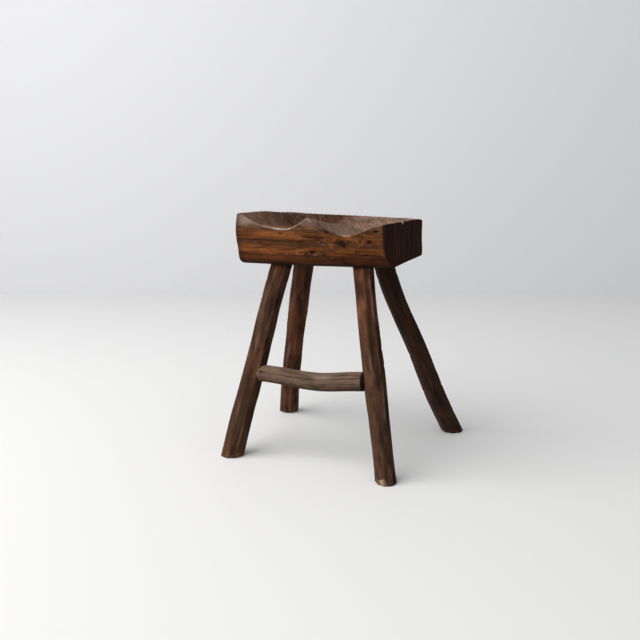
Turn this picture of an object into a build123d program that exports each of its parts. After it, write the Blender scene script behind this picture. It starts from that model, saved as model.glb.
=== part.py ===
"""A rustic saddle stool: a thick carved seat block on four splayed branch legs.

The seat is one sawn block of wood with two thigh hollows scooped into its top. A pommel stands
between them at the front and a rim runs along the back. Four hewn branches stand in blind
tapered mortises in the underside, and one bent branch ties the two front legs together.

Axes: -Y is the front, +X the right as seen from the front, +Z up. The origin is on the floor, at
the centre of the rectangle that the feet reach.
"""

import os
from build123d import *

os.makedirs("parts", exist_ok=True)

# Seat block
seat_length = 298.0        # between the sawn ends
seat_depth = 225.0         # front to back
seat_thickness = 99.7      # underside to the tip of the front left horn
underside_height = 370.3   # floor to the flat underside, at the front
underside_rise = 10.0      # how much higher the underside is at the back
seat_middle_x = -11.0      # the block sits a little off the middle of the feet
seat_middle_y = -5.5
end_round = 2.5            # wear round the two sawn ends, below the carved rim
back_round = 9.0           # hewn corner between the underside and the back
check_width = 8.0          # drying check in the top edge of the right end
check_depth = 7.0
check_length = 18.0

# Legs
stance_width = 386.0       # between the outermost foot centres, along X
stance_depth = 341.0       # between the outermost foot centres, along Y
leg_diameter = 42.0
foot_round = 2.5           # wear round each sole
tenon_root_diameter = 31.0
tenon_tip_diameter = 27.0
tenon_root = 12.0          # how far down inside the leg the tenon's taper starts
tenon_length = 46.0        # along the leg, from the underside up

# Stretcher
stretcher_diameter = 33.5
stretcher_sag = 8.5        # how far the bent branch hangs below its chord
stretcher_tenon_diameter = 20.0
stretcher_tenon_past = 6.0   # how far each tenon goes past the leg's centre line
square_shoulder_gap = 5.5    # the right shoulder was cut square and stands off its leg

# Fits
fit_gap = 0.2              # all round a tenon in its mortise
end_gap = 0.5              # at the blind end of a mortise
scribe_gap = 0.3           # between a coped shoulder and its leg
overrun = 25.0             # how far cutting shapes run past what they cut

# Places of the legs: the head as shares of the block, the foot as shares of the stance
head_shares = {
    "leg_front_left": (-0.275, -0.240),
    "leg_front_right": (0.286, -0.213),
    "leg_back_left": (-0.292, 0.240),
    "leg_back_right": (0.279, 0.244),
}
foot_shares = {
    "leg_front_left": (-0.407, -0.459),
    "leg_front_right": (0.438, -0.500),
    "leg_back_left": (-0.500, 0.468),
    "leg_back_right": (0.500, 0.500),
}

# Each leg from foot to head at even steps: its girth and its sideways bow, as shares of the
# leg diameter
girth_shares = {
    "leg_front_left": (1.07, 1.04, 1.02, 0.98, 0.97),
    "leg_front_right": (0.90, 0.87, 0.91, 0.88, 0.94),
    "leg_back_left": (1.01, 0.96, 0.90, 0.91, 0.95),
    "leg_back_right": (0.92, 0.97, 0.935, 0.925, 1.01),
}
bow_shares = {
    "leg_front_left": (0.03, -0.03, 0.005, -0.04, 0.035),
    "leg_front_right": (-0.01, -0.012, -0.035, -0.04, 0.035),
    "leg_back_left": (0.07, -0.03, -0.06, -0.03, 0.05),
    "leg_back_right": (0.13, -0.07, -0.04, -0.11, 0.10),
}
facet_turns = {
    "leg_front_left": 0,
    "leg_front_right": 14,
    "leg_back_left": -8,
    "leg_back_right": 20,
}
facet_count = 8
apothem_share = 0.480        # centre to facet, of the girth
facet_round_share = 0.13     # rounding between facets, of the girth

# Where the stretcher meets the front legs, as shares of their length from foot to head
stretcher_height_shares = {"leg_front_left": 0.431, "leg_front_right": 0.454}

# The bent branch: its places between the two legs, and how much of the sag it has there
bend_place_shares = (0.28, 0.55, 0.78)
bend_sag_shares = (0.34, 1.0, 0.36)
stretcher_place_shares = (0.0, 0.35, 0.70, 1.0)
stretcher_girth_shares = (0.95, 0.97, 1.02, 1.04)

# The block's side profiles: the place along the length, where the front curve leaves the
# underside, the front curve from there up, and the back edge from the underside up. Each point
# is a share of the depth and a share of the thickness.
block_profile_shares = (
    (
        -0.5,
        -0.275,
        ((-0.400, 0.035), (-0.462, 0.115), (-0.492, 0.30), (-0.518, 0.50), (-0.529, 0.66), (-0.500, 1.02)),
        ((0.495, 0.10), (0.504, 0.40), (0.502, 0.70), (0.490, 1.02)),
    ),
    (
        0.0,
        -0.315,
        ((-0.405, 0.050), (-0.457, 0.145), (-0.488, 0.32), (-0.511, 0.50), (-0.525, 0.66), (-0.500, 1.02)),
        ((0.498, 0.10), (0.506, 0.40), (0.504, 0.70), (0.492, 1.02)),
    ),
    (
        0.5,
        -0.225,
        ((-0.290, 0.055), (-0.369, 0.158), (-0.444, 0.29), (-0.487, 0.50), (-0.515, 0.76), (-0.498, 1.02)),
        ((0.500, 0.10), (0.508, 0.40), (0.506, 0.70), (0.488, 1.02)),
    ),
)

# The carved top: heights above the underside as shares of the thickness, in rows from the
# front edge to the back edge, at the same places along the length
saddle_place_shares = (
    -0.50, -0.43, -0.315, -0.22, -0.13, -0.05, 0.0, 0.055, 0.115, 0.19, 0.265, 0.34, 0.42, 0.50,
)
saddle_row_shares = (
    (
        -0.50,
        (1.000, 0.931, 0.782, 0.740, 0.740, 0.869, 0.943,
         0.843, 0.749, 0.690, 0.646, 0.705, 0.803, 0.864),
    ),
    (
        -0.25,
        (0.995, 0.921, 0.744, 0.671, 0.661, 0.779, 0.853,
         0.774, 0.685, 0.617, 0.579, 0.646, 0.769, 0.864),
    ),
    (
        0.05,
        (0.975, 0.892, 0.705, 0.622, 0.612, 0.695, 0.759,
         0.705, 0.626, 0.568, 0.543, 0.617, 0.754, 0.862),
    ),
    (
        0.28,
        (0.953, 0.882, 0.754, 0.695, 0.685, 0.730, 0.769,
         0.730, 0.676, 0.631, 0.612, 0.666, 0.769, 0.857),
    ),
    (
        0.42,
        (0.935, 0.910, 0.867, 0.845, 0.838, 0.840, 0.845,
         0.828, 0.808, 0.796, 0.792, 0.800, 0.818, 0.843),
    ),
    (
        0.50,
        (0.922, 0.928, 0.922, 0.916, 0.908, 0.897, 0.888,
         0.879, 0.872, 0.866, 0.860, 0.854, 0.846, 0.828),
    ),
)

# The drying check: its place across the right end, and the height of the rim there
check_place_share = -0.035
check_rim_share = 0.862
check_y = seat_middle_y + check_place_share * seat_depth
check_z = underside_height + check_rim_share * seat_thickness


# Frames of the underside and the legs

underside = Plane(
    origin=(seat_middle_x, seat_middle_y - seat_depth / 2, underside_height),
    x_dir=(1, 0, 0),
    z_dir=Vector(0, -underside_rise, seat_depth),
)


def rise_at(depth_share):
    """How far the underside has risen at a share of the depth, measured from the middle."""
    return underside_rise * (depth_share * seat_depth + seat_depth / 2) / seat_depth


def head_point(name):
    """Where a leg's centre line meets the underside of the seat."""
    along, across = head_shares[name]
    x = seat_middle_x + along * seat_length
    y = seat_middle_y + across * seat_depth
    return Vector(x, y, underside_height + rise_at(across))


def foot_point(name):
    """Where a leg's centre line meets the floor."""
    along, across = foot_shares[name]
    return Vector(along * stance_width, across * stance_depth, 0)


def leg_plane(name):
    """A plane square to the leg at its foot: its Z runs up the leg, its X to the right."""
    up = (head_point(name) - foot_point(name)).normalized()
    return Plane(origin=foot_point(name), x_dir=Vector(0, 1, 0).cross(up), z_dir=up)


def leg_length(name):
    """From the floor to the underside, along the leg."""
    return (head_point(name) - foot_point(name)).length


def leg_sections(name, grow=0.0):
    """The leg's hewn cross-sections, from below the floor to above the underside."""
    base = leg_plane(name)
    last = len(girth_shares[name]) - 1
    sections = []
    for step, (girth_share, bow_share) in enumerate(zip(girth_shares[name], bow_shares[name])):
        height = -overrun + (leg_length(name) + overrun + overrun) * step / last
        girth = girth_share * leg_diameter
        centre = base.offset(height).from_local_coords((bow_share * leg_diameter, 0, 0))
        with BuildSketch(Plane(origin=centre, x_dir=base.x_dir, z_dir=base.z_dir)) as section:
            RegularPolygon(
                apothem_share * girth + grow,
                facet_count,
                major_radius=False,
                rotation=facet_turns[name],
            )
            fillet(section.vertices(), facet_round_share * girth)
        sections.append(section.sketch)
    return sections


def tenon_sections(name, gap, end):
    """The two ends of the tapered tenon at a leg's head, or of its mortise."""
    base = leg_plane(name)
    with BuildSketch(base.offset(leg_length(name) - tenon_root)) as root:
        Circle(tenon_root_diameter / 2 + gap)
    with BuildSketch(base.offset(leg_length(name) + tenon_length + end)) as tip:
        Circle(tenon_tip_diameter / 2 + gap)
    return [root.sketch, tip.sketch]


# Line of the stretcher, between the centre lines of the front legs

def stretcher_point(name):
    """Where the stretcher's centre line meets a front leg's."""
    share = stretcher_height_shares[name]
    return foot_point(name) * (1 - share) + head_point(name) * share


left_joint = stretcher_point("leg_front_left")
right_joint = stretcher_point("leg_front_right")
bends = [
    left_joint * (1 - place) + right_joint * place - Vector(0, 0, sag * stretcher_sag)
    for place, sag in zip(bend_place_shares, bend_sag_shares)
]
branch = Spline(left_joint, *bends, right_joint)


def branch_plane(share):
    """A plane square to the bent branch, its Z along it from left to right."""
    along = branch % share
    return Plane(origin=branch @ share, x_dir=along.cross(Vector(0, 0, 1)), z_dir=along)


joint_planes = {
    "leg_front_left": Plane(
        origin=branch @ 0, x_dir=branch_plane(0).x_dir, z_dir=branch_plane(0).z_dir * -1
    ),
    "leg_front_right": branch_plane(1),
}
leg_radius = leg_diameter / 2
tenon_reach = leg_radius + square_shoulder_gap + tenon_root


# Seat: a block lofted through its side profiles, with the saddle carved out of its top

with BuildPart() as seat:
    for place_share, start_share, front_shares, back_shares in block_profile_shares:
        side = Plane(
            origin=(seat_middle_x + place_share * seat_length, seat_middle_y, underside_height),
            x_dir=(0, 1, 0),
            z_dir=(1, 0, 0),
        )
        front_start = (start_share * seat_depth, rise_at(start_share))
        back_corner = (back_shares[0][0] * seat_depth, rise_at(back_shares[0][0]))
        with BuildSketch(side) as profile:
            with BuildLine():
                front = Spline(
                    front_start,
                    *[(y * seat_depth, z * seat_thickness) for y, z in front_shares],
                    tangents=[(-seat_depth, -underside_rise), (0, 1)],
                )
                back = Spline(
                    back_corner,
                    *[(y * seat_depth, z * seat_thickness) for y, z in back_shares[1:]],
                )
                Line(front @ 1, back @ 1)
                Line(front @ 0, back @ 0)
            make_face()
            fillet(profile.vertices().sort_by_distance(back_corner)[0], back_round)
    loft()
    front_row, back_row = saddle_row_shares[0], saddle_row_shares[-1]
    rows = [(-seat_depth / 2 - overrun, front_row[1])]
    rows += [(share * seat_depth, heights) for share, heights in saddle_row_shares]
    rows += [(seat_depth / 2 + overrun, back_row[1])]
    for row_place, heights in rows:
        row_plane = Plane(
            origin=(seat_middle_x, seat_middle_y + row_place, underside_height),
            x_dir=(1, 0, 0),
            z_dir=(0, -1, 0),
        )
        points = [
            (x * seat_length, z * seat_thickness) for x, z in zip(saddle_place_shares, heights)
        ]
        far_left = (points[0][0] - overrun, points[0][1])
        far_right = (points[-1][0] + overrun, points[-1][1])
        with BuildSketch(row_plane):
            with BuildLine():
                carved = Spline(far_left, *points, far_right)
                Polyline(
                    carved @ 1,
                    (far_right[0], seat_thickness + overrun),
                    (far_left[0], seat_thickness + overrun),
                    carved @ 0,
                )
            make_face()
    loft(mode=Mode.SUBTRACT)
    saddle = seat.faces().sort_by(Axis.Z)[-1]
    left_end = seat.faces().sort_by(Axis.X)[0]
    right_end = seat.faces().sort_by(Axis.X)[-1]
    fillet(left_end.edges() + right_end.edges() - saddle.edges(), end_round)
    with BuildSketch(Plane.YZ.offset(seat_middle_x + seat_length / 2)):
        with Locations((check_y, check_z)):
            Polygon(
                (0, -check_depth), (check_width / 2, 0), (check_width / 2, overrun),
                (-check_width / 2, overrun), (-check_width / 2, 0),
                align=None,
            )
    extrude(amount=-check_length, mode=Mode.SUBTRACT)
    for leg_name in head_shares:
        loft(tenon_sections(leg_name, fit_gap, end_gap), mode=Mode.SUBTRACT)
seat.part.label = "seat"
export_step(seat.part, "parts/seat.step")


# Legs: hewn branches with a level sole, a level shoulder and a tapered tenon

def hewn_leg(name):
    """Build one leg, with its mortise where the stretcher enters it."""
    with BuildPart() as leg:
        loft(leg_sections(name))
        split(bisect_by=Plane.XY, keep=Keep.TOP)
        fillet(leg.faces().sort_by(Axis.Z)[0].edges(), foot_round)
        split(bisect_by=underside, keep=Keep.BOTTOM)
        loft(tenon_sections(name, 0, 0))
        if name in joint_planes:
            with BuildSketch(joint_planes[name].offset(stretcher_tenon_past + end_gap)):
                Circle(stretcher_tenon_diameter / 2 + fit_gap)
            extrude(amount=-(stretcher_tenon_past + leg_diameter), mode=Mode.SUBTRACT)
    leg.part.label = name
    export_step(leg.part, f"parts/{name}.step")
    return leg


legs = {name: hewn_leg(name) for name in head_shares}


# Stretcher: a bent branch, scribed to the left leg and cut square just short of the right one

square_share = 1 - (leg_radius + square_shoulder_gap) / branch.length
with BuildPart() as stretcher:
    for place_share, girth_share in zip(stretcher_place_shares, stretcher_girth_shares):
        with BuildSketch(branch_plane(place_share * square_share)):
            Circle(girth_share * stretcher_diameter / 2)
    loft()
    loft(leg_sections("leg_front_left", scribe_gap), mode=Mode.SUBTRACT)
    for joint_plane in joint_planes.values():
        with BuildSketch(joint_plane.offset(stretcher_tenon_past)):
            Circle(stretcher_tenon_diameter / 2)
        extrude(amount=-(stretcher_tenon_past + tenon_reach))
stretcher.part.label = "stretcher"
export_step(stretcher.part, "parts/stretcher.step")
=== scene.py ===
# %% [markdown]
# # A hand-hewn saddle stool
#
# The stool is six pieces of wood: a thick seat block with two thigh hollows carved into its top,
# four hewn branches for legs, and one bent branch between the two front legs. Each piece is made
# here as a fine skin of points worked out with numpy, and each takes the place of the plain CAD
# solid of the same name. The CAD model is loaded first, as the frame that everything has to fit.

# %% Load the packed model
import math
import bpy
import numpy as np
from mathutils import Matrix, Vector


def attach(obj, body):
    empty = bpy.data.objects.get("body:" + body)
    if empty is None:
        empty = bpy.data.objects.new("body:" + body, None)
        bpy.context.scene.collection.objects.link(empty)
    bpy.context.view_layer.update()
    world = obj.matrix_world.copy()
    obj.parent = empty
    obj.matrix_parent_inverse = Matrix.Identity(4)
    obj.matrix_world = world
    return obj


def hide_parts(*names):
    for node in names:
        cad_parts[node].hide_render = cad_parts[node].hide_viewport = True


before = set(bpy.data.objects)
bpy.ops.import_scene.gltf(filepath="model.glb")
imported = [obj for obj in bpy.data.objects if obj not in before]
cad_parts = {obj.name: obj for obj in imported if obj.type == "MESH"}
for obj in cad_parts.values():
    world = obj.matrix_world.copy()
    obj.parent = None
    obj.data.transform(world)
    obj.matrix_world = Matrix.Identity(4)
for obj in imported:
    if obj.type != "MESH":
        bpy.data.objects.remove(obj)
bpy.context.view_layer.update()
mm = 0.001

# %% [markdown]
# ## The camera
#
# The photograph was taken from a little above the seat, turned 24.5 degrees towards the right
# end of the stool. A camera could be aimed with a Track To constraint at an empty, but a place, a
# heading, a tilt and a lens say the same in four values. The heading also gives two level
# directions, ahead of the camera and to its right, which the wall and the window follow later.

# %% Camera at the photograph's viewing angle
camera_place = Vector((0.64846, -1.50597, 0.55858))
heading = math.radians(24.54)
tilt = math.radians(10.49)
sensor_width = 36.0
lens_length = 46.85
ahead = Vector((-math.sin(heading), math.cos(heading), 0.0))
rightward = Vector((math.cos(heading), math.sin(heading), 0.0))

camera_data = bpy.data.cameras.new("photo_camera")
camera_data.sensor_width = sensor_width
camera_data.lens = lens_length
camera = bpy.data.objects.new("photo_camera", camera_data)
camera.location = camera_place
camera.rotation_euler = (math.radians(90.0) - tilt, 0.0, heading)
bpy.context.scene.collection.objects.link(camera)
bpy.context.scene.camera = camera
print("lens", round(camera_data.lens, 2), "mm")

# %% [markdown]
# ## A smooth line through a few measured points
#
# Hand work is measured at a few places only: a leg's girth at five heights, the carved top at
# fourteen places in six rows. A natural cubic spline joins such points with no corner. Blender's
# own curves do that for one line at a time. Written as weights, a spline serves every point of a
# surface at once: the value anywhere is a weighted sum of the measured values.


# %% Spline weights
def spline_weights(knots, at):
    """Weights of each knot's value at each place of at.

    Between two knots the curve is a cubic whose slope and bend carry on into the next gap, and
    whose bend is zero at both ends. The bends are the answer of one small linear system.
    """
    knots = np.asarray(knots, float)
    count = len(knots)
    gap = np.diff(knots)
    system = np.eye(count)
    slopes = np.zeros((count, count))
    inner = np.arange(1, count - 1)
    system[inner, inner - 1] = gap[:-1]
    system[inner, inner] = 2.0 * (gap[:-1] + gap[1:])
    system[inner, inner + 1] = gap[1:]
    slopes[inner, inner - 1] = 6.0 / gap[:-1]
    slopes[inner, inner + 1] = 6.0 / gap[1:]
    slopes[inner, inner] = -slopes[inner, inner - 1] - slopes[inner, inner + 1]
    bends = np.linalg.solve(system, slopes)
    at = np.clip(np.asarray(at, float), knots[0], knots[-1])
    cell = np.clip(np.searchsorted(knots, at, side="right") - 1, 0, count - 2)
    width = gap[cell]
    far = (at - knots[cell]) / width
    near = 1.0 - far
    values = np.eye(count)
    weights = near[..., None] * values[cell] + far[..., None] * values[cell + 1]
    curl = ((near**3 - near) * width**2 / 6.0)[..., None] * bends[cell]
    return weights + curl + ((far**3 - far) * width**2 / 6.0)[..., None] * bends[cell + 1]


def smooth_through(knots, values, at):
    """The smooth line through values at knots, read at each place of at."""
    return spline_weights(knots, at) @ np.asarray(values, float)


def run_along(points):
    """Distance run along a row of points, up to each of them: the steps' lengths, summed."""
    steps = np.linalg.norm(np.diff(points, axis=0), axis=1)
    return np.concatenate([[0.0], np.cumsum(steps)])


print("half way between 0 and 1:", smooth_through([0, 1, 2], [0, 1, 0], np.array([0.5])))

# %% [markdown]
# ## Unevenness
#
# Nothing on this stool is straight or even. A noise gives each place a number between 0 and 1
# that changes smoothly, the same on every run. Stretched along the grain it is the ridges of
# weathered wood, and left round it is the wander of an axe. A Displace modifier could push the
# points about too, but numbers worked out here can also say where dirt lies and wear shows.


# %% Smooth noise, steps and bells
def soft_noise(place, seed):
    """Random numbers at the corners of unit cells, blended across each cell by tt(3 - 2t).

    The large odd numbers only scramble a corner's place, so that its own number looks random.
    """
    cell = np.floor(place).astype(np.int64)
    part = place - cell
    part = part * part * (3.0 - 2.0 * part)
    total = np.zeros(place.shape[:-1])
    for corner in np.ndindex(2, 2, 2):
        key = cell + corner
        mixed = key[..., 0] * 73856093 ^ key[..., 1] * 19349663 ^ key[..., 2] * 83492791
        mixed = (mixed ^ (seed * 40503)) * 1274126177
        mixed = (mixed ^ (mixed >> 15)) * 1103515245
        value = ((mixed ^ (mixed >> 16)) & 65535) / 65535.0
        total += value * np.prod(np.where(corner, part, 1.0 - part), axis=-1)
    return total


def unevenness(place, sizes, seed):
    """Noise from -1 to 1 whose lumps have the given sizes, with finer lumps half as strong."""
    scaled = place / np.asarray(sizes, float)
    coarse = soft_noise(scaled, seed)
    fine = soft_noise(scaled * 2.3, seed + 1)
    return (2.0 * coarse + fine) / 1.5 - 1.0


def fade(value, start, end):
    """0 before start and 1 after end, with a smooth step between them."""
    share = np.clip((value - start) / (end - start), 0.0, 1.0)
    return share * share * (3.0 - 2.0 * share)


def bell(distance, width):
    """1 at distance 0, and nearly 0 past two widths: e to the power -(distance / width)^2."""
    return np.exp(-((distance / width) ** 2))


print("four noise values:", soft_noise(np.arange(12.0).reshape(4, 3) * 0.37, 3).round(2))

# %% [markdown]
# ## From rings of points to a closed skin
#
# Every piece here is long, so each is a row of rings: the ring runs round the piece, and the row
# runs along it. Such rings can follow a bent line, slant at the floor and narrow to a tenon,
# which a stretched cylinder can't. Four neighbouring points make a face. The two ends are closed
# by a fan round one middle point, and the faces are turned outwards if the skin's volume comes
# out negative.


# %% Closed skin
def skin(name, rings):
    """Join rings of points, rows by around, into one closed and smooth mesh object."""
    rows, around, _ = rings.shape
    points = np.concatenate([rings.reshape(-1, 3), [rings[0].mean(0), rings[-1].mean(0)]])
    index = np.arange(rows * around).reshape(rows, around)
    after = np.roll(index, -1, axis=1)
    quads = np.stack([index[:-1], after[:-1], after[1:], index[1:]], axis=-1).reshape(-1, 4)
    low_fan = np.stack([after[0], index[0], np.full(around, rows * around)], axis=-1)
    high_fan = np.stack([index[-1], after[-1], np.full(around, rows * around + 1)], axis=-1)
    fans = np.concatenate([low_fan, high_fan])
    triangles = np.concatenate([quads[:, [0, 1, 2]], quads[:, [0, 2, 3]], fans])
    first, second, third = (points[triangles[:, side]] for side in range(3))
    volume = np.einsum("ij,ij->", first, np.cross(second, third)) / 6.0
    if volume < 0.0:
        quads, fans = quads[:, ::-1], fans[:, ::-1]
    sizes = np.concatenate([np.full(len(quads), 4), np.full(len(fans), 3)])
    mesh = bpy.data.meshes.new(name)
    mesh.vertices.add(len(points))
    mesh.vertices.foreach_set("co", points.ravel())
    mesh.loops.add(int(sizes.sum()))
    mesh.loops.foreach_set("vertex_index", np.concatenate([quads.ravel(), fans.ravel()]))
    mesh.polygons.add(len(sizes))
    mesh.polygons.foreach_set("loop_start", np.cumsum(sizes) - sizes)
    mesh.polygons.foreach_set("use_smooth", np.ones(len(sizes), bool))
    mesh.update(calc_edges=True)
    piece = bpy.data.objects.new(name, mesh)
    bpy.context.scene.collection.objects.link(piece)
    print(name, len(triangles), "triangles,", round(abs(volume) * 1e6), "cubic centimetres")
    return piece


# %% [markdown]
# ## Values kept on a skin
#
# Wear, dirt and grain follow the shape of each piece, so they are worked out with it and kept as
# attributes, one value for each point. Weight painting by hand would do the same for one stool,
# but would have to be done again after every change of shape. The direction that faces out of
# the skin is worked out here too, for marks that are cut into it.


# %% Masks and outward directions
def paint(piece, name, values):
    """Keep one number, or one place, per point of the skin, for its material to read."""
    flat = values.reshape(values.shape[0] * values.shape[1], -1)
    around = values.shape[1]
    flat = np.concatenate([flat, [flat[:around].mean(0), flat[-around:].mean(0)]])
    kind, field = ("FLOAT", "value") if flat.shape[1] == 1 else ("FLOAT_VECTOR", "vector")
    layer = piece.data.attributes.new(name, kind, "POINT")
    layer.data.foreach_set(field, flat.astype(np.float32).ravel())


def outward(rings):
    """The direction that faces out of the skin at each point, from its neighbours' places."""
    along = np.gradient(rings, axis=0)
    round_it = np.roll(rings, -1, axis=1) - np.roll(rings, 1, axis=1)
    normal = np.cross(round_it, along)
    normal /= np.linalg.norm(normal, axis=-1, keepdims=True) + 1e-12
    middle = rings.mean(axis=1, keepdims=True)
    inside_out = np.sum(normal * (rings - middle), axis=-1).mean() < 0.0
    return -normal if inside_out else normal


turn = np.linspace(0.0, 2.0 * math.pi, 12, endpoint=False)
tube = np.stack(np.broadcast_arrays(np.cos(turn), np.sin(turn), np.arange(3.0)[:, None]), -1)
print("outward at a tube's first point:", outward(tube)[1, 0].round(3))

# %% [markdown]
# ## The hewn legs: where they stand
#
# Each leg is a branch about 42 mm thick. Its foot and its head are set as shares of the stance
# and of the seat block, as in the CAD model, and it bows a little on the way up. Girth and bow
# are shares of the leg's diameter, given at five even steps from foot to head, so a leg can be
# made thicker or straighter in one place by one number.

# %% Places of the legs
seat_size = np.array([298.0, 225.0, 99.7]) * mm
seat_middle = np.array([-11.0, -5.5, 370.3]) * mm
underside_rise = 10.0 * mm
stance = np.array([386.0, 341.0]) * mm
leg_diameter = 42.0 * mm
overrun = 25.0 * mm  # how far the tables of girth and bow run on past both ends
head_shares = {
    "leg_front_left": (-0.275, -0.240),
    "leg_front_right": (0.286, -0.213),
    "leg_back_left": (-0.292, 0.240),
    "leg_back_right": (0.279, 0.244),
}
foot_shares = {
    "leg_front_left": (-0.407, -0.459),
    "leg_front_right": (0.438, -0.500),
    "leg_back_left": (-0.500, 0.468),
    "leg_back_right": (0.500, 0.500),
}
girth_shares = {
    "leg_front_left": (1.07, 1.04, 1.02, 0.98, 0.97),
    "leg_front_right": (0.91, 0.90, 0.96, 0.885, 0.98),
    "leg_back_left": (1.01, 0.97, 0.94, 0.99, 1.02),
    "leg_back_right": (0.92, 0.97, 0.935, 0.925, 0.97),
}
bow_shares = {
    "leg_front_left": (0.03, -0.03, 0.005, -0.04, 0.035),
    "leg_front_right": (-0.01, -0.012, -0.035, -0.04, 0.035),
    "leg_back_left": (0.07, -0.03, -0.045, 0.01, 0.085),
    "leg_back_right": (0.13, -0.07, -0.04, -0.11, 0.10),
}
# How far each leg's flats are turned round it, in degrees
facet_turns = {
    "leg_front_left": 0,
    "leg_front_right": 14,
    "leg_back_left": -8,
    "leg_back_right": 20,
}


def underside_at(y):
    """Height of the seat's underside: its front edge, plus the rise times the share of depth."""
    return seat_middle[2] + underside_rise * ((y - seat_middle[1]) / seat_size[1] + 0.5)


def leg_line(name):
    """Foot, direction and length of a leg's centre line, and the two directions across it.

    The direction is the way from foot to head over its length. The first direction across it is
    its cross product with the way back, and the second is the cross product of the two.
    """
    head_xy = seat_middle[:2] + np.array(head_shares[name]) * seat_size[:2]
    head = np.array([*head_xy, underside_at(head_xy[1])])
    foot = np.array([*(np.array(foot_shares[name]) * stance), 0.0])
    length = np.linalg.norm(head - foot)
    up = (head - foot) / length
    side = np.cross([0.0, 1.0, 0.0], up)
    side /= np.linalg.norm(side)
    return foot, up, length, side, np.cross(up, side)


for leg_name in head_shares:
    print(leg_name, "is", round(leg_line(leg_name)[2] / mm), "mm from floor to seat")

# %% [markdown]
# ## The hewn surface
#
# A drawknife takes the bark off in long flat strips, and leaves a branch with about eight flats.
# A cylinder with eight sides and a bevel would look machined, so the flats are worked out. If
# each flat were endless, the leg would be whatever lies inside all of them. A soft version of
# that rule, a power mean over the flats, rounds the ridges a little: the higher the power, the
# crisper the ridge. The front left leg has kept its ridges, and the other three are worn round.
# Each flat's distance and turn wander up the leg, as the blade did.

# %% Radius of a hewn branch
flat_count = 8
flat_share = 0.482  # from the centre line to a flat, as a share of the girth
flat_wander = 0.030  # how much that distance varies up the leg
ridge_wander = 0.13  # how far a flat turns on the way up, in radians
# The power of the mean: the higher it is, the crisper the ridges
ridge_crispness = {
    "leg_front_left": 110,
    "leg_front_right": 40,
    "leg_back_left": 40,
    "leg_back_right": 44,
}


def hewn_radius(name, seed, height, angle, girth):
    """Distance from a leg's centre line to its surface, at heights and angles round it.

    A flat at distance a and direction d meets the ray at angle t at a / cos(t - d). The surface
    is the nearest of the flats: the power mean of cos(t - d) / a, turned upside down.
    """
    flats = np.arange(flat_count)
    drift = np.stack(np.broadcast_arrays(height[..., None], flats * 1.0, 0.0), axis=-1)
    wander = unevenness(drift, (70 * mm, 0.61, 1.0), seed)
    lift = unevenness(drift, (38 * mm, 0.53, 1.0), seed + 7)
    turn = math.radians(facet_turns[name]) + math.radians(360.0 / flat_count) * (flats + 0.5)
    direction = turn + ridge_wander * wander
    distance = flat_share * girth[..., None] * (1.0 + flat_wander * lift)
    facing = np.clip(np.cos(angle[..., None] - direction), 0.0, None) / distance
    crispness = ridge_crispness[name]
    return np.sum(facing**crispness, axis=-1) ** (-1.0 / crispness)


print(flat_count, "flats, turning by up to", round(math.degrees(ridge_wander)), "degrees")

# %% [markdown]
# ## How old wood takes colour
#
# The branches were stained dark and have worn differently: the front right one is red at its
# head, the back left one is red all the way up, the back right one is nearly black. One dark
# material with a noise would make them alike. Redness and lightness are given at five steps from
# foot to head instead, and each point of a leg gets its own tone.

# %% Tones of the legs
leg_steps = np.linspace(0.0, 1.0, 5)
redness_shares = {
    "leg_front_left": (0.50, 0.10, 0.45, 0.15, 0.75),
    "leg_front_right": (0.15, 0.20, 0.25, 0.70, 1.30),
    "leg_back_left": (0.45, 0.70, 0.85, 0.85, 0.70),
    "leg_back_right": (0.15, 0.20, 0.35, 0.45, 0.45),
}
lightness_shares = {
    "leg_front_left": (0.82, 0.60, 0.80, 0.76, 1.05),
    "leg_front_right": (0.76, 0.80, 0.78, 0.92, 1.25),
    "leg_back_left": (1.05, 1.00, 1.00, 0.88, 0.58),
    "leg_back_right": (0.45, 0.40, 0.36, 0.31, 0.24),
}
brown_tone = np.array([0.092, 0.046, 0.024])
red_tone = np.array([0.138, 0.044, 0.016])
chip_tone = np.array([0.520, 0.330, 0.190])
tone_lift = 1.10  # lightness of the wood in the middle of its mottling
tone_mottle = 0.55  # how much lighter or darker the mottling makes it


def leg_tone(name, share, mottle):
    """Colour at a share of the leg's height: brown to red by redness, times lightness."""
    redness = smooth_through(leg_steps, redness_shares[name], share)[..., None]
    lightness = smooth_through(leg_steps, lightness_shares[name], share)[..., None]
    tone = brown_tone * (1.0 - redness) + red_tone * redness
    return tone * lightness * (tone_lift + tone_mottle * mottle[..., None])


print("lightest leg tone:", leg_tone("leg_front_right", np.ones(1), np.ones(1))[0].round(3))

# %% [markdown]
# ## The hewn legs: from the floor to the seat
#
# The sole is level and the leg leans, so the rings near the floor are slanted: each point starts
# where its own line up the leg meets the floor, and stops where it meets the seat's underside.
# A Boolean cut could level a straight branch too, but it leaves long thin faces, where these
# rings stay even.

# %% One leg's surface and its two level ends
leg_rows, leg_around = 230, 88
leg_angle = np.linspace(0.0, 2.0 * math.pi, leg_around, endpoint=False)[None, :]
# Shares of the leg's height: the rings crowd together where the sole is knocked round
near_sole = [0.0, 0.0015, 0.0035, 0.006, 0.009]
leg_shares = np.concatenate([near_sole, np.linspace(0.013, 1.0, leg_rows)])[:, None]


def hewn_at(name, seed, height):
    """Centre, radius and girth of a leg at heights along its line, read from its tables.

    The centre is the foot, plus the height along the leg, plus the bow sideways.
    """
    foot, up, length, side, _ = leg_line(name)
    steps = np.linspace(-overrun, length + overrun, len(girth_shares[name]))
    girth = smooth_through(steps, girth_shares[name], height) * leg_diameter
    bow = smooth_through(steps, bow_shares[name], height) * leg_diameter
    centre = foot + height[..., None] * up + bow[..., None] * side
    return centre, hewn_radius(name, seed, height, leg_angle + 0.0 * height, girth), girth


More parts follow.
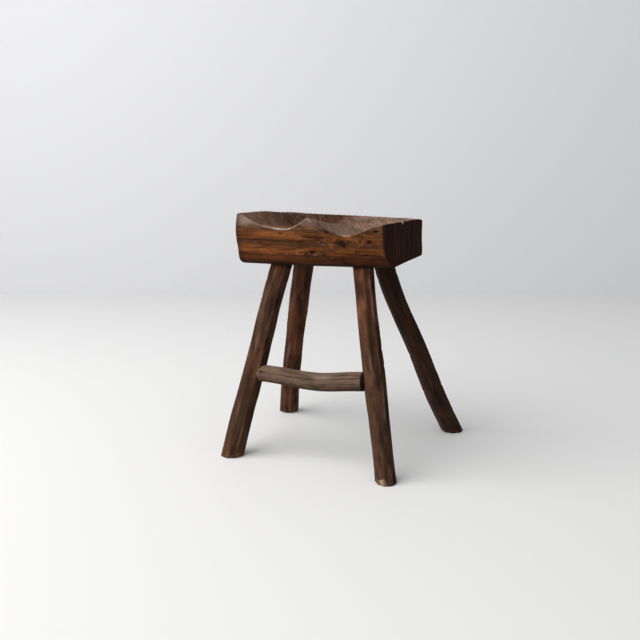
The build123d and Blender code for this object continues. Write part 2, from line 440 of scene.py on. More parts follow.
def level_ends(name, seed, compass):
    """Heights at which each line up the leg meets the floor and the seat's underside.

    The lines run straight up the leg, so a height is the drop that is left, divided by the
    upward part of the leg's direction.
    """
    _, up, length, _, _ = leg_line(name)
    centre, radius, _ = hewn_at(name, seed, np.zeros((1, leg_around)))
    low = -(centre + radius[..., None] * compass)[..., 2] / up[2]
    centre, radius, _ = hewn_at(name, seed, np.full((1, leg_around), length))
    reach = centre + radius[..., None] * compass
    return low, length + (underside_at(reach[..., 1]) - reach[..., 2]) / up[2]


print("points on one leg:", (len(leg_shares) + 2) * leg_around + 2)

# %% [markdown]
# ## The hewn legs: chips, sole and tenon
#
# The ridges between the flats have lost small chips, fine fibres run up the wood, and the edge of
# the sole is knocked round. All three only change the radius, so they cost no extra faces. Two
# more rings make the tapered tenon that goes up into the block, as in the CAD model.

# %% Rings of one leg
sole_round = 3.0 * mm
chip_depth = 0.9 * mm
fibre_height = 0.13 * mm
tenon_radii = (15.1 * mm, 13.5 * mm)
tenon_length = 46.0 * mm


def leg_shape(name, seed):
    """Rings up a leg, and what its finish needs to know about them.

    Returns the rings, each point's place in the leg's own grain, its height along the leg, the
    height of the sole on its line, and how much it lies on a ridge and in a chip.
    """
    foot, up, length, side, front = leg_line(name)
    compass = np.cos(leg_angle)[..., None] * side + np.sin(leg_angle)[..., None] * front
    low, high = level_ends(name, seed, compass)
    height = low + (high - low) * leg_shares
    centre, radius, girth = hewn_at(name, seed, height)

    turned = np.stack([height, radius * np.cos(leg_angle), radius * np.sin(leg_angle)], axis=-1)
    ridge = fade(radius / girth, 0.492, 0.515)
    chip = fade(unevenness(turned, (11 * mm, 7 * mm, 7 * mm), seed + 20), 0.30, 0.62)
    fibre = unevenness(turned, (55 * mm, 1.9 * mm, 1.9 * mm), seed + 30)
    radius = radius - chip_depth * chip * ridge + fibre_height * fibre
    edge = sole_round * (0.8 + 0.5 * soft_noise(turned * 60.0, seed + 40))
    part = np.clip(1.0 - (height - low) / edge, 0.0, 1.0)
    radius = radius - edge * (1.0 - np.sqrt(1.0 - part**2))
    hewn = centre + radius[..., None] * compass
    hewn[0, :, 2] = 0.0

    head = foot + length * up
    collar = head + tenon_radii[0] * compass[0]
    collar = collar + ((underside_at(collar[:, 1]) - collar[:, 2]) / up[2])[:, None] * up
    tip = head + tenon_length * up + tenon_radii[1] * compass[0]
    return np.concatenate([hewn, [collar, tip]]), turned, height, low, ridge, chip


print("tenons:", round(tenon_length / mm), "mm long")

# %% [markdown]
# ## The hewn legs: what wear, dirt and painted shade follow
#
# Hands, feet and mops have rubbed the ridges bare. Black grime stays in long patches where nothing
# rubs. Under the seat the head of each leg is darkened, a painted shade, and its tenon is painted
# black. The front right leg has lost its stain at the edge of the sole and shows pale wood there.
# Noise in the shader alone would put all this anywhere, so the masks are worked out from the
# ridges, the chips and the sole of each leg.

# %% Finish of one leg
# Bare wood at the sole: which way round the leg it faces, and how bare it is
foot_chips = {
    "leg_front_left": (math.radians(-60.0), 0.18),
    "leg_front_right": (math.radians(-100.0), 1.0),
    "leg_back_left": (math.radians(-90.0), 0.10),
    "leg_back_right": (math.radians(-20.0), 0.10),
}
ridge_wear = 0.95
sole_wear = 0.5
patch_grime = 0.75


def leg_colour(name, seed, turned, height, low):
    """The leg's tone with its mottling, and bare wood where the edge of the sole is chipped."""
    mottle = unevenness(turned, (48 * mm, 13 * mm, 13 * mm), seed + 70)
    mottle = 0.8 * mottle + 0.9 * unevenness(turned, (26 * mm, 4 * mm, 4 * mm), seed + 90)
    tone = leg_tone(name, np.clip(height / leg_line(name)[2], 0.0, 1.0), mottle)
    facing, bareness = foot_chips[name]
    off_chip = np.abs((leg_angle - facing + math.pi) % (2.0 * math.pi) - math.pi)
    ragged = 0.6 + 0.8 * soft_noise(turned / (5 * mm), seed + 80)
    chipped = (1.0 - fade(off_chip, 0.40, 0.80)) * bareness
    chipped = (chipped * (1.0 - fade((height - low) * ragged, 7.5 * mm, 10.5 * mm)))[..., None]
    return tone * (1.0 - chipped) + chip_tone * chipped


def with_tenon(mask, value=0.0):
    """A mask up the leg, with one value on the two rings of its tenon."""
    return np.concatenate([mask, np.full((2, leg_around), value)])


print("bare edge of each sole:", {name: bare for name, (_, bare) in foot_chips.items()})

# %% [markdown]
# ## The four legs
#
# One function makes a leg from its name, so the four differ by their tables and seeds alone. A
# copied and turned leg would show the same knots four times. Each takes its CAD leg's place.


# %% Make the legs
def make_leg(name, seed):
    """Skin one leg, keep its masks, and let it stand for the CAD leg of that name."""
    rings, turned, height, low, ridge, chip = leg_shape(name, seed)
    piece = skin(name + "_hewn", rings)
    tip_place = turned[-1:] + [tenon_length, 0.0, 0.0]
    paint(piece, "grain_place", np.concatenate([turned, turned[-1:], tip_place]))

    sole = 1.0 - fade(height - low, 2.0 * mm, 12.0 * mm)
    rub = fade(unevenness(turned, (44 * mm, 9 * mm, 9 * mm), seed + 50), -0.10, 0.80)
    shade = smooth_through(leg_steps, lightness_shares[name], leg_shares)
    worn = ridge_wear * ridge * rub + sole_wear * sole * chip
    paint(piece, "worn", with_tenon(worn * np.clip(shade, 0.0, 1.0) ** 2))

    tone = leg_colour(name, seed, turned, height, low)
    paint(piece, "tone", np.concatenate([tone, tone[-2:]]))

    length = leg_line(name)[2]
    # Painted shade: the last 14 mm of the leg under the seat are darkened, and the tenon is black.
    shade_under_seat = fade(height, length - 14 * mm, length - 3 * mm)
    patch = fade(-unevenness(turned, (45 * mm, 9 * mm, 9 * mm), seed + 60), 0.0, 0.5)
    grime_and_shade = np.clip(shade_under_seat + patch_grime * patch, 0.0, 1.0)
    paint(piece, "grime_and_shade", with_tenon(grime_and_shade, 1.0))
    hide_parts(name)
    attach(piece, "root")
    return piece


leg_pieces = [make_leg(name, 100 * seed + 11) for seed, name in enumerate(head_shares)]

# %% [markdown]
# ## The bent stretcher
#
# A natural bend was kept for the rail between the front legs. A curve object with a bevel depth
# could make it, but its ends would be plain discs. The rail's line is worked out as points with a
# frame at each: its direction, the way to the front, and the way up.

# %% The stretcher's line
stretcher_diameter = 34.6 * mm
stretcher_sag = 9.2 * mm
stretcher_tenon_radius = 10.0 * mm
square_shoulder = 22.8 * mm
joint_shares = {"leg_front_left": 0.431, "leg_front_right": 0.454}


def joint_point(name):
    """Where the rail's centre line meets a front leg's: a share of the way up that leg."""
    foot, up, length, _, _ = leg_line(name)
    return foot + up * length * joint_shares[name]


left_joint, right_joint = (joint_point(name) for name in joint_shares)
bend_places = np.array([0.0, 0.20, 0.42, 0.58, 0.78, 1.0])
bend_sags = np.array([0.0, 0.26, 0.86, 1.0, 0.46, 0.0]) * stretcher_sag
rail_points = left_joint + bend_places[:, None] * (right_joint - left_joint)
rail_points[:, 2] -= bend_sags
rail_knots = run_along(rail_points)
rail_length = rail_knots[-1]
slope_step = 0.5 * mm


def rail_frame(along):
    """Centre, direction, frontward and upward at distances along the rail.

    The direction is the step between two close points of the line, and the other two are cross
    products. Past its ends the rail runs straight on.
    """
    centre = smooth_through(rail_knots, rail_points, along)
    inner = np.clip(along, slope_step, rail_length - slope_step)
    ahead_of = smooth_through(rail_knots, rail_points, inner + slope_step)
    behind = smooth_through(rail_knots, rail_points, inner - slope_step)
    direction = ahead_of - behind
    direction /= np.linalg.norm(direction, axis=-1, keepdims=True)
    centre = centre + (along - np.clip(along, 0.0, rail_length))[..., None] * direction
    frontward = np.cross(direction, [0.0, 0.0, 1.0])
    frontward /= np.linalg.norm(frontward, axis=-1, keepdims=True)
    return centre, direction, frontward, np.cross(frontward, direction)


print("rail", round(rail_length / mm), "mm between the legs' centre lines")

# %% [markdown]
# ## The stretcher's two ends
#
# The left end is scribed: its shoulder is hollowed to sit round the leg, so each line along the
# rail stops where it meets the leg's round surface, which is the answer of a quadratic. The right
# end was sawn square and stands a little off its leg, with only the tenon going in. A Boolean
# with the leg would cut the left end too, but it would break up the even rings.

# %% Girth and scribed end
rail_around = 96
rail_angle = np.linspace(0.0, 2.0 * math.pi, rail_around, endpoint=False)[None, :]
scribe_radius = 20.6 * mm
lump_height = 0.55 * mm


def rail_radius(along):
    """Radius of the rail: half its diameter times a share that grows to the right, plus lumps."""
    share = np.clip(along / (rail_length - square_shoulder), 0.0, 1.0)
    girth = smooth_through((0.0, 0.35, 0.70, 1.0), (0.95, 0.97, 1.02, 1.04), share)
    turned = np.stack(np.broadcast_arrays(along, np.cos(rail_angle), np.sin(rail_angle)), axis=-1)
    lumps = unevenness(turned, (42 * mm, 0.9, 0.9), 501)
    return girth * stretcher_diameter / 2.0 + lump_height * lumps


def round_the_rail(along):
    """Directions out of the rail's centre line: cos(angle) frontward plus sin(angle) upward."""
    _, _, frontward, upward = rail_frame(along)
    return np.cos(rail_angle)[..., None] * frontward + np.sin(rail_angle)[..., None] * upward


def scribed_start():
    """Where each line along the rail meets the left leg, taken as a cylinder.

    Seen down the leg, a line that starts at p and runs along q leaves the circle of radius r at
    the distance s for which |p + s q| = r.
    """
    leg_up = leg_line("leg_front_left")[1]
    at_joint = np.zeros((1, rail_around))

    def down_leg(arrow):
        return arrow - np.sum(arrow * leg_up, axis=-1, keepdims=True) * leg_up

    run = down_leg(rail_frame(at_joint)[1])
    outset = down_leg(rail_radius(at_joint)[..., None] * round_the_rail(at_joint))
    square = np.sum(run * run, axis=-1)
    half = np.sum(run * outset, axis=-1)
    rest = np.sum(outset * outset, axis=-1) - scribe_radius**2
    return (-half + np.sqrt(half**2 - square * rest)) / square


start = scribed_start()
finish = rail_length - square_shoulder
print("rail starts", (start.min() / mm).round(1), "to", (start.max() / mm).round(1), "mm in")

# %% [markdown]
# ## The stretcher's skin
#
# A drying crack follows the grain along the front, fine fibres run with it, and both ends are
# knocked round. As on the legs, each is a change of the radius. The crack is a narrow bell round
# a line that wanders, open in the middle of the rail and nearly shut towards its ends.

# %% The stretcher's rings
end_steps = np.array([0.0, 0.003, 0.007, 0.012])
share = np.concatenate([end_steps, np.linspace(0.018, 0.982, 210), 1.0 - end_steps[::-1]])
along = start + (finish - start) * share[:, None]
radius = rail_radius(along)

# The crack's angle above the front, in radians, at distances along the rail in millimetres
crack_places = np.array([0, 80, 130, 170, 210, 260]) * mm
crack_angles = (0.40, 0.34, 0.40, 0.46, 0.54, 0.50)
crack_width, crack_depth = 0.65 * mm, 2.2 * mm
crack_angle = smooth_through(crack_places, crack_angles, along)
only_along = np.stack([along, 0.0 * along, 0.0 * along], axis=-1)
wiggle = 0.05 * unevenness(only_along, (16 * mm, 1.0, 1.0), 511)
above_front = (rail_angle + math.pi) % (2.0 * math.pi) - math.pi
off_crack = np.abs(above_front - crack_angle - wiggle) * radius
crack_open = fade(along, 55 * mm, 90 * mm) * (1.0 - fade(along, 222 * mm, 236 * mm)) * 0.7 + 0.3
crack = bell(off_crack, crack_width) * crack_open

turned = np.stack([along, radius * np.cos(rail_angle), radius * np.sin(rail_angle)], axis=-1)
fibre = unevenness(turned, (60 * mm, 2.2 * mm, 2.2 * mm), 521)
rail_fibre, rim_reach, rim_drop = 0.16 * mm, 1.6 * mm, 1.4 * mm
radius = radius - crack_depth * crack + rail_fibre * fibre
rim = np.clip(1.0 - np.minimum(along - start, finish - along) / rim_reach, 0.0, 1.0)
radius = radius - rim_drop * (1.0 - np.sqrt(1.0 - rim**2))


def tenon_ring(place, past=0.0):
    """A ring of the round tenon: the centre at place + past, plus its radius all the way round."""
    return rail_frame(place + past)[0] + stretcher_tenon_radius * round_the_rail(place)


tip_reach = 6 * mm
stretcher = skin("stretcher_rail", np.concatenate([
    tenon_ring(0.0 * start, -tip_reach),
    tenon_ring(start),
    rail_frame(along)[0] + radius[..., None] * round_the_rail(along),
    tenon_ring(along[-1:]),
    tenon_ring(0.0 * start + rail_length, tip_reach),
]))

# %% [markdown]
# ## The stretcher's finish
#
# Feet rest on this rail, so its top is rubbed bare and grey. Its underside and the crack are dark.
# The sawn end is dark with dirt on the end grain and with painted shade from the gap to its leg,
# and both tenons are painted black, partly dirt and partly painted shade. The masks follow the way
# up, the crack and the distance from each end.


# %% Masks of the stretcher
def with_ends(mask, value):
    """A mask along the rail, with the same value on the tenon at each end."""
    ends = np.full((2, rail_around), value)
    return np.concatenate([ends, mask + np.zeros_like(along), ends])


paint(stretcher, "grain_place", np.pad(turned, ((2, 2), (0, 0), (0, 0)), mode="edge"))
top_side = fade(np.sin(rail_angle), -0.35, 0.75)
tread = fade(unevenness(turned, (50 * mm, 12 * mm, 12 * mm), 531), -0.4, 0.7)
left_rim = 1.0 - fade(along - start, 1.0 * mm, 9.0 * mm)
rail_worn = np.clip(0.55 * top_side * tread + 0.5 * left_rim, 0, 1)
paint(stretcher, "worn", with_ends(rail_worn, 0.0))
# The sawn end: dirt on the end grain and painted shade of the gap beside the right leg. The tenons
# at both ends get full darkness, partly dirt and partly painted shade.
sawn_end_dirt_and_shade = 1.0 - fade(finish - along, 0.2 * mm, 1.8 * mm)
rail_grime_and_shade = crack * 1.6 + 0.55 * fade(-np.sin(rail_angle), 0.2, 0.9) + sawn_end_dirt_and_shade
paint(stretcher, "grime_and_shade", with_ends(np.clip(rail_grime_and_shade, 0.0, 1.0), 1.0))
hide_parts("stretcher")
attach(stretcher, "root")
print("worn share of the stretcher:", round(float(rail_worn.mean()), 2))

# %% [markdown]
# ## The seat block: the sawn outline
#
# The block was cut from half a log. Seen from its end it has a flat underside, a belly that curves
# forward and up at the front, and a nearly straight back. A bevelled box would have the same
# section all along, and this block hasn't: three outlines are known, at the left end, in the
# middle and at the right end. Any outline between them is a weighted sum of the three, and each
# weight is a parabola over the place along the block.

# %% Outlines of the block
# From the underside up: depths as shares of the block's depth, and heights of its thickness
front_outlines = (
    ((-0.200, -0.275, -0.408, -0.468, -0.493, -0.518, -0.529, -0.500),
     (0.030, 0.022, 0.030, 0.105, 0.30, 0.50, 0.66, 1.02)),
    ((-0.240, -0.315, -0.405, -0.457, -0.488, -0.511, -0.525, -0.500),
     (0.026, 0.018, 0.050, 0.145, 0.32, 0.50, 0.66, 1.02)),
    ((-0.150, -0.225, -0.290, -0.369, -0.444, -0.487, -0.515, -0.498),
     (0.035, 0.027, 0.055, 0.158, 0.29, 0.50, 0.76, 1.02)),
)
back_outlines = (
    ((0.494, 0.495, 0.504, 0.502, 0.490), (0.099, 0.10, 0.40, 0.70, 1.02)),
    ((0.497, 0.498, 0.506, 0.504, 0.492), (0.099, 0.10, 0.40, 0.70, 1.02)),
    ((0.499, 0.500, 0.508, 0.506, 0.488), (0.099, 0.10, 0.40, 0.70, 1.02)),
)


def outline_at(outlines, place, share):
    """Depth and height on an outline, at places -0.5 to 0.5 along the block.

    The weights 2p(p - 0.5), 1 - 4pp and 2p(p + 0.5) are 1 at their own outline and 0 at the
    other two. share runs from 0 at the bottom of the outline to 1 at its top.
    """
    weights = (2.0 * place * (place - 0.5), 1.0 - 4.0 * place**2, 2.0 * place * (place + 0.5))
    total = 0.0
    for weight, (depths, heights) in zip(weights, outlines):
        points = np.stack([np.array(depths) * seat_size[1], np.array(heights) * seat_size[2]], -1)
        knots = run_along(points)
        total = total + weight[..., None] * smooth_through(knots, points, share * knots[-1])
    return total


half_way = outline_at(front_outlines, np.zeros(1), np.full(1, 0.5))[0]
print("belly half way up the front:", (half_way / mm).round(1), "mm out and up")

# %% [markdown]
# ## The carved top
#
# The two thigh hollows, the pommel between them and the rim at the back are one surface. It could
# be sculpted, or cut with two rounded shapes in a Boolean, but the hollows differ in width and
# depth, and a table says so plainly: heights at fourteen places by six rows. Two sets of spline
# weights, one along the block and one across it, turn the table into a height anywhere: it is
# multiplied from both sides. Its outer values are repeated once, so that the surface runs on
# past the block.

# %% Heights of the carved top
saddle_places = (
    -0.58, -0.50, -0.43, -0.315, -0.22, -0.13, -0.05, 0.0,
    0.055, 0.115, 0.19, 0.265, 0.34, 0.42, 0.50, 0.58,
)
saddle_rows = (-0.61, -0.50, -0.25, 0.05, 0.28, 0.42, 0.50, 0.61)
saddle_heights = (
    (1.000, 0.931, 0.782, 0.740, 0.740, 0.869, 0.943,
     0.843, 0.749, 0.690, 0.646, 0.705, 0.803, 0.864),
    (0.995, 0.921, 0.744, 0.671, 0.661, 0.779, 0.853,
     0.774, 0.685, 0.617, 0.579, 0.646, 0.769, 0.864),
    (0.975, 0.892, 0.705, 0.622, 0.612, 0.695, 0.759,
     0.705, 0.626, 0.568, 0.543, 0.617, 0.754, 0.862),
    (0.932, 0.880, 0.754, 0.695, 0.685, 0.730, 0.769,
     0.730, 0.676, 0.631, 0.612, 0.666, 0.769, 0.857),
    (0.916, 0.898, 0.855, 0.835, 0.830, 0.836, 0.843,
     0.828, 0.808, 0.796, 0.792, 0.800, 0.818, 0.843),
    (0.909, 0.904, 0.894, 0.887, 0.884, 0.880, 0.878,
     0.877, 0.871, 0.866, 0.860, 0.854, 0.846, 0.828),
)
saddle_table = np.pad(np.array(saddle_heights), 1, mode="edge")
crest_place = -0.002
crest_cut = 2.2 * mm


def carved_height(place, depth):
    """Height of the carved top above the underside's front edge.

    It is the sum of the table's heights, each times its weight across and its weight along the
    block. The splines leave the pommel round, so wood is taken off beside its crest, by a depth
    that grows as 1 - e^(-distance) and dies away as a bell.
    """
    across_it = spline_weights(np.array(saddle_rows) * seat_size[1], depth)
    along_it = spline_weights(saddle_places, place)
    smooth = seat_size[2] * np.einsum("...r,rp,...p->...", across_it, saddle_table, along_it)
    off_crest = np.abs(place - crest_place) * seat_size[0]
    pinch = (1.0 - np.exp(-off_crest / (5 * mm))) * bell(off_crest, 20 * mm)
    return smooth - crest_cut * pinch * (1.0 - fade(depth, -100 * mm, -35 * mm))


def rim_share(outlines, place):
    """Where up an outline the carved top cuts it off, found by halving the gap again and again."""
    low, high = np.full_like(place, 0.4), np.ones_like(place)
    for _ in range(24):
        middle = (low + high) / 2.0
        depth, height = np.moveaxis(outline_at(outlines, place, middle), -1, 0)
        above = height > carved_height(place, depth)
        low, high = np.where(above, low, middle), np.where(above, middle, high)
    return low


seat_place = np.linspace(-0.5, 0.5, 3)
print("rim of the front edge at", rim_share(front_outlines, seat_place).round(2), "of its outline")

# %% [markdown]
# ## One ring round the block
#
# A ring starts under the block, climbs the front, crosses the top and comes down the back. Where
# two faces meet, wear has rounded the corner. A Bevel modifier rounds every corner alike, but
# here the lip is worn by 2 to 6 mm and the back by 2.5 mm. So each rounded corner is a curve that
# starts on one face, is pulled towards the corner that has been lost, and ends on the other.


# %% Rings round the seat block
def rounded(first, corner, last, count):
    """The curve (1-t)(1-t) first + 2t(1-t) corner + tt last, without its two ends."""
    t = np.linspace(0.0, 1.0, count + 2)[1:-1, None]
    first, corner, last = (point[:, None, :] for point in (first, corner, last))
    return (1 - t) ** 2 * first + 2 * t * (1 - t) * corner + t**2 * last


front_points, top_points, back_points, under_points = 84, 142, 32, 30
front_run, back_run = 146 * mm, 94 * mm  # the lengths of the front's and the back's outlines
back_round = 2.5 * mm


def block_rings(place):
    """Rings of (depth, height) at places along the block, and where each of their parts ends.

    The parts are the front, the lip, the top, the back's rim, the back, its low corner, the point
    where that ends, and the underside. Each starts where the one before it ends.
    """
    column = place[:, None]
    wander = np.stack([place * seat_size[0] / (24 * mm), place * 0.0, place * 0.0], axis=-1)
    lip = (2.2 + 3.4 * soft_noise(wander, 71)) * mm
    rim = rim_share(front_outlines, place)
    tail = rim_share(back_outlines, place)
    up_front = np.linspace(0.0, 1.0, front_points)[None, :] * (rim - lip / front_run)[:, None]
    front = outline_at(front_outlines, column + 0.0 * up_front, up_front)
    corner = outline_at(front_outlines, place, rim)
    back_corner = outline_at(back_outlines, place, tail)
    crossing = np.linspace(0.0, 1.0, top_points)[None, :]
    first, last = corner[:, 0] + lip, back_corner[:, 0] - back_round
    depth = first[:, None] + crossing * (last - first)[:, None]
    top = np.stack([depth, carved_height(column + 0.0 * depth, depth)], axis=-1)
    down = (tail - back_round / back_run)[:, None] * np.linspace(1.0, 0.0, back_points)[None, :]
    back = outline_at(back_outlines, column + 0.0 * down, down)
    back_level = underside_at(back[:, -1, 0] + seat_middle[1]) - seat_middle[2]
    low_corner = np.stack([back[:, -1, 0], back_level], axis=-1)
    back_foot = low_corner - [9 * mm, 0.4 * mm]
    sole = np.linspace(0.0, 1.0, under_points)[None, 1:-1, None]
    under = back_foot[:, None] * (1 - sole) + front[:, :1] * sole
    parts = (front, rounded(front[:, -1], corner, top[:, 0], 8), top,
             rounded(top[:, -1], back_corner, back[:, 0], 6), back,
             rounded(back[:, -1], low_corner, back_foot, 6), back_foot[:, None], under)
    return np.concatenate(parts, axis=1), np.cumsum([part.shape[1] for part in parts])


inner_places = np.linspace(-0.4915, 0.4915, 212)
rings, marks = block_rings(inner_places)
front_end, lip_end, top_end = marks[:3]
print("points round the block:", rings.shape[1], "of them on the top:", top_end - lip_end)

# %% [markdown]
# ## The sawn ends
#
# Each end is closed by more rings: a few that turn the corner in a quarter circle, then rings
# that shrink towards the middle of the end. One large flat face would be enough for a plain end,
# but the check and the saw marks need points to move.

# %% Ends of the block
end_round = 2.5 * mm
quarter = np.radians(np.array([0.0, 22.5, 45.0, 67.5, 90.0]))[:, None, None]
shrinking = np.linspace(0.98, 0.02, 42)[:, None, None]


def end_rings(which):
    """Rings that close the left (-1) or the right (1) end, from its edge to its middle.

    A quarter circle goes in by r(1 - cos q) and out along the block by r sin q. After it, each
    ring is the last one, shrunk towards the middle of the end.
    """
    ring = block_rings(np.array([which / 2.0]))[0][0]
    centre = (ring.max(axis=0) + ring.min(axis=0)) / 2.0
    inward = centre - ring
    inward /= np.linalg.norm(inward, axis=-1, keepdims=True)
    turned_in = ring + inward * end_round * (1.0 - np.cos(quarter))
    reach = which * (seat_size[0] / 2.0 - end_round * (1.0 - np.sin(quarter)))
    shrunk = centre + (turned_in[-1] - centre) * shrinking
    flat = np.concatenate([turned_in, shrunk])
    sideways = np.concatenate([reach + 0.0 * turned_in[..., :1],
                               which * seat_size[0] / 2.0 + 0.0 * shrunk[..., :1]])
    return np.concatenate([sideways, flat], axis=-1)


sides = np.broadcast_to((inner_places * seat_size[0])[:, None, None], rings.shape[:2] + (1,))
block = seat_middle + np.concatenate([
    end_rings(-1)[::-1], np.concatenate([sides, rings], axis=-1), end_rings(1)])
print("seat rings:", block.shape[:2])

# %% [markdown]
# ## Where each point of the block faces
#
# The front is sawn, the top is carved, the ends are end grain and the underside is grimy, so most
# marks belong to one side only. Instead of cutting the mesh into parts, each side is a mask that
# fades out where the surface turns away. A mark on the front is placed by millimetres along the
# block and by its share of the block's height.

# %% Sides of the block
normal = outward(block)
x, y, z = np.moveaxis(block, -1, 0)
seat_y = y - seat_middle[1]
up_share = (z - underside_at(y)) / seat_size[2]
faces_up = fade(normal[..., 2], 0.35, 0.8)
faces_down = fade(-normal[..., 2], 0.72, 0.95)
faces_front = fade(-normal[..., 1], 0.25, 0.75)
faces_back = fade(normal[..., 1], 0.25, 0.75)
faces_end = fade(np.abs(normal[..., 0]), 0.6, 0.9)


def away_from(place, height_share, half_long, half_high):
    """Squared distance from a mark: each distance over the mark's half size (mm), squared."""
    away = ((x - place * mm) / (half_long * mm)) ** 2
    return away + ((up_share - height_share) * seat_size[2] / (half_high * mm)) ** 2


print("points on the front:", int((faces_front > 0.5).sum()))

# %% [markdown]
# ## Knots, holes and the long drying check
#
# The front face shows a dozen knots and small holes and one long check. They are seen from the
# side too, so they are real dents and not only drawn. Each is a bell over its place. The same
# numbers later tell the material where dirt lies.

# %% Marks on the front face
# Middle of each knot or hole on the front: place (mm), height share, half sizes (mm), depth (mm)
front_marks = (
    (125.1, 0.735, 5.2, 1.7, 4.5),
    (111.1, 0.535, 3.6, 2.8, 4.5),
    (93.8, 0.53, 2.4, 1.8, 3.0),
    (84.3, 0.33, 2.4, 1.6, 2.5),
    (38.2, 0.16, 4.6, 2.0, 3.5),
    (-63.8, 0.645, 5.0, 1.1, 2.5),
    (-2.0, 0.30, 5.0, 3.0, 3.0),
    (-27.0, 0.285, 3.2, 2.0, 1.8),
    (12.5, 0.52, 4.5, 1.8, 2.0),
    (31.0, 0.70, 4.0, 2.2, 2.0),
    (20.0, 0.24, 3.0, 1.6, 1.6),
    (103.0, 0.30, 3.0, 1.0, 1.2),
)
pits = np.zeros_like(x)
depths = np.zeros_like(x)
for place, height_share, half_long, half_high, depth in front_marks:
    mark = np.exp(-(away_from(place, height_share, half_long, half_high) ** 1.5)) * faces_front
    pits = np.maximum(pits, mark)
    depths = np.maximum(depths, mark * depth * mm)

# Dark lines along the front: first and last place (mm), height shares there, half width (mm),
# darkness, depth (mm). The first is the long drying check.
front_lines = (
    (-160, -6, 0.515, 0.500, 0.9, 0.95, 1.5),
    (-150, -40, 0.715, 0.690, 0.8, 0.45, 0.3),
    (-120, 8, 0.355, 0.375, 0.7, 0.35, 0.2),
    (-160, 20, 0.235, 0.225, 1.3, 0.55, 0.4),
    (30, 140, 0.300, 0.275, 1.8, 0.75, 0.5),
    (18, 140, 0.600, 0.635, 1.1, 0.50, 0.4),
    (60, 136, 0.450, 0.430, 0.8, 0.40, 0.2),
    (-60, 30, 0.145, 0.120, 1.0, 0.50, 0.3),
)
waver = 0.014 * unevenness(np.stack([x, up_share * 0.1, 0 * x], -1), (15 * mm, 0.02, 1.0), 81)
line_dark = np.zeros_like(x)
line_depth = np.zeros_like(x)
for first, last, first_share, last_share, half_high, dark, depth in front_lines:
    run = np.clip((x / mm - first) / (last - first), 0.0, 1.0)
    off_line = up_share - first_share - (last_share - first_share) * run - waver
    line = bell(off_line * seat_size[2], half_high * mm) * faces_front
    line = line * fade(x / mm, first - 1.0, first + 12.0) * (1.0 - fade(x / mm, last - 14.0, last))
    line_dark = np.maximum(line_dark, line * dark)
    line_depth = np.maximum(line_depth, line * depth * mm)
print("deepest mark:", round(float(depths.max() / mm), 1), "mm")

# %% [markdown]
# ## Gouge flutes and grain
#
# The hollows were cut with a gouge whose strokes run slantwise, from the front towards the left:
# shallow flutes side by side, each a parabola, with ragged ends. On the front and the back the
# soft early wood has worn away, and the hard late wood stands up in long ridges. A bump map would
# show both from above, but not along the rim, so they are heights along the outward direction.

# %% Relief of the block
late_wood = unevenness(block, (95 * mm, 40 * mm, 3.4 * mm), 91)
fibre = unevenness(block, (45 * mm, 1.8 * mm, 1.6 * mm), 101)
axe = unevenness(block, (38 * mm, 34 * mm, 30 * mm), 111)
along_stroke = 0.62 * x - 0.78 * y
across_stroke = 0.78 * x + 0.62 * y
stroke_place = np.stack([along_stroke, across_stroke, 0 * x], -1)
flute_width = 8.5 * mm
flute_bend = 0.9 * unevenness(block, (46 * mm, 60 * mm, 1.0), 121)
flute = np.abs(((across_stroke / flute_width + flute_bend) % 1.0) * 2.0 - 1.0)
stroke_end = unevenness(stroke_place, (26 * mm, 9 * mm, 1), 131)
gouge = (flute**2 - 0.4 + 0.5 * stroke_end) * faces_up
hatch = unevenness(stroke_place, (16 * mm, 3.0 * mm, 1), 132)

late_wood_height, pore_height = 0.30 * mm, 0.12 * mm
axe_height, burl_height = 0.35 * mm, 0.9 * mm
relief = late_wood_height * late_wood * (faces_front + 1.0 - np.maximum(faces_up, faces_end))
relief = relief + pore_height * fibre + axe_height * axe
relief = relief + (0.55 * gouge + 0.20 * hatch * faces_up) * mm
relief = relief - depths - line_depth
knotty = np.exp(-(((x - 8 * mm) / (40 * mm)) ** 2 + ((up_share - 0.33) / 0.24) ** 2)) * faces_front
burl = unevenness(block, (11 * mm, 20 * mm, 8 * mm), 141)
relief = relief + burl_height * knotty * burl
print("relief from", (relief.min() / mm).round(1), "to", (relief.max() / mm).round(1), "mm")

# %% [markdown]
# ## Nicked rims, and the check in the right end
#
# Knocks have nicked the rims, so noise takes wood off near them: how near is the distance within
# one ring to the lip and to the back's edge, or the distance to the end. A drying check opens the
# top edge of the right end, and a crack runs on down from it.

# %% Rims, check and skin of the seat
end_distance = seat_size[0] / 2.0 - np.abs(x - seat_middle[0])
rim_middle = front_end + 4
off_rim = np.linalg.norm(block[..., 1:] - block[:, rim_middle, None, 1:], axis=-1)
off_back_rim = np.linalg.norm(block[..., 1:] - block[:, top_end, None, 1:], axis=-1)
off_long_rims = np.minimum(off_rim, off_back_rim)
edge_distance = np.where(faces_end > 0.5, off_long_rims, np.minimum(off_long_rims, end_distance))
nick = fade(unevenness(block, (9 * mm, 7 * mm, 7 * mm), 143), 0.20, 0.80)
nick_depth, nick_reach = 1.3 * mm, 3 * mm
relief = relief - nick_depth * nick * bell(edge_distance, nick_reach)

check_y = seat_middle[1] - 0.035 * seat_size[1]
check_half_width, check_depth, check_reach = 7.5 * mm, 5.5 * mm, 18 * mm
check = np.clip(1.0 - np.abs(y - check_y) / check_half_width, 0.0, 1.0) * check_depth
check = check * fade(x - seat_middle[0] - seat_size[0] / 2.0, -check_reach, 0.0)
check = check * fade(up_share, 0.74, 0.80)
end_crack_width, end_crack_depth = 1.1 * mm, 1.4 * mm
end_crack = bell(y - check_y - 2 * mm, end_crack_width) * faces_end * (x > 0.0)
end_crack = end_crack * fade(up_share, 0.38, 0.60)
relief = relief - end_crack_depth * end_crack
seat_points = block + normal * relief[..., None]
seat_points[..., 2] -= check
seat = skin("carved_seat", seat_points)
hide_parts("seat")
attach(seat, "root")
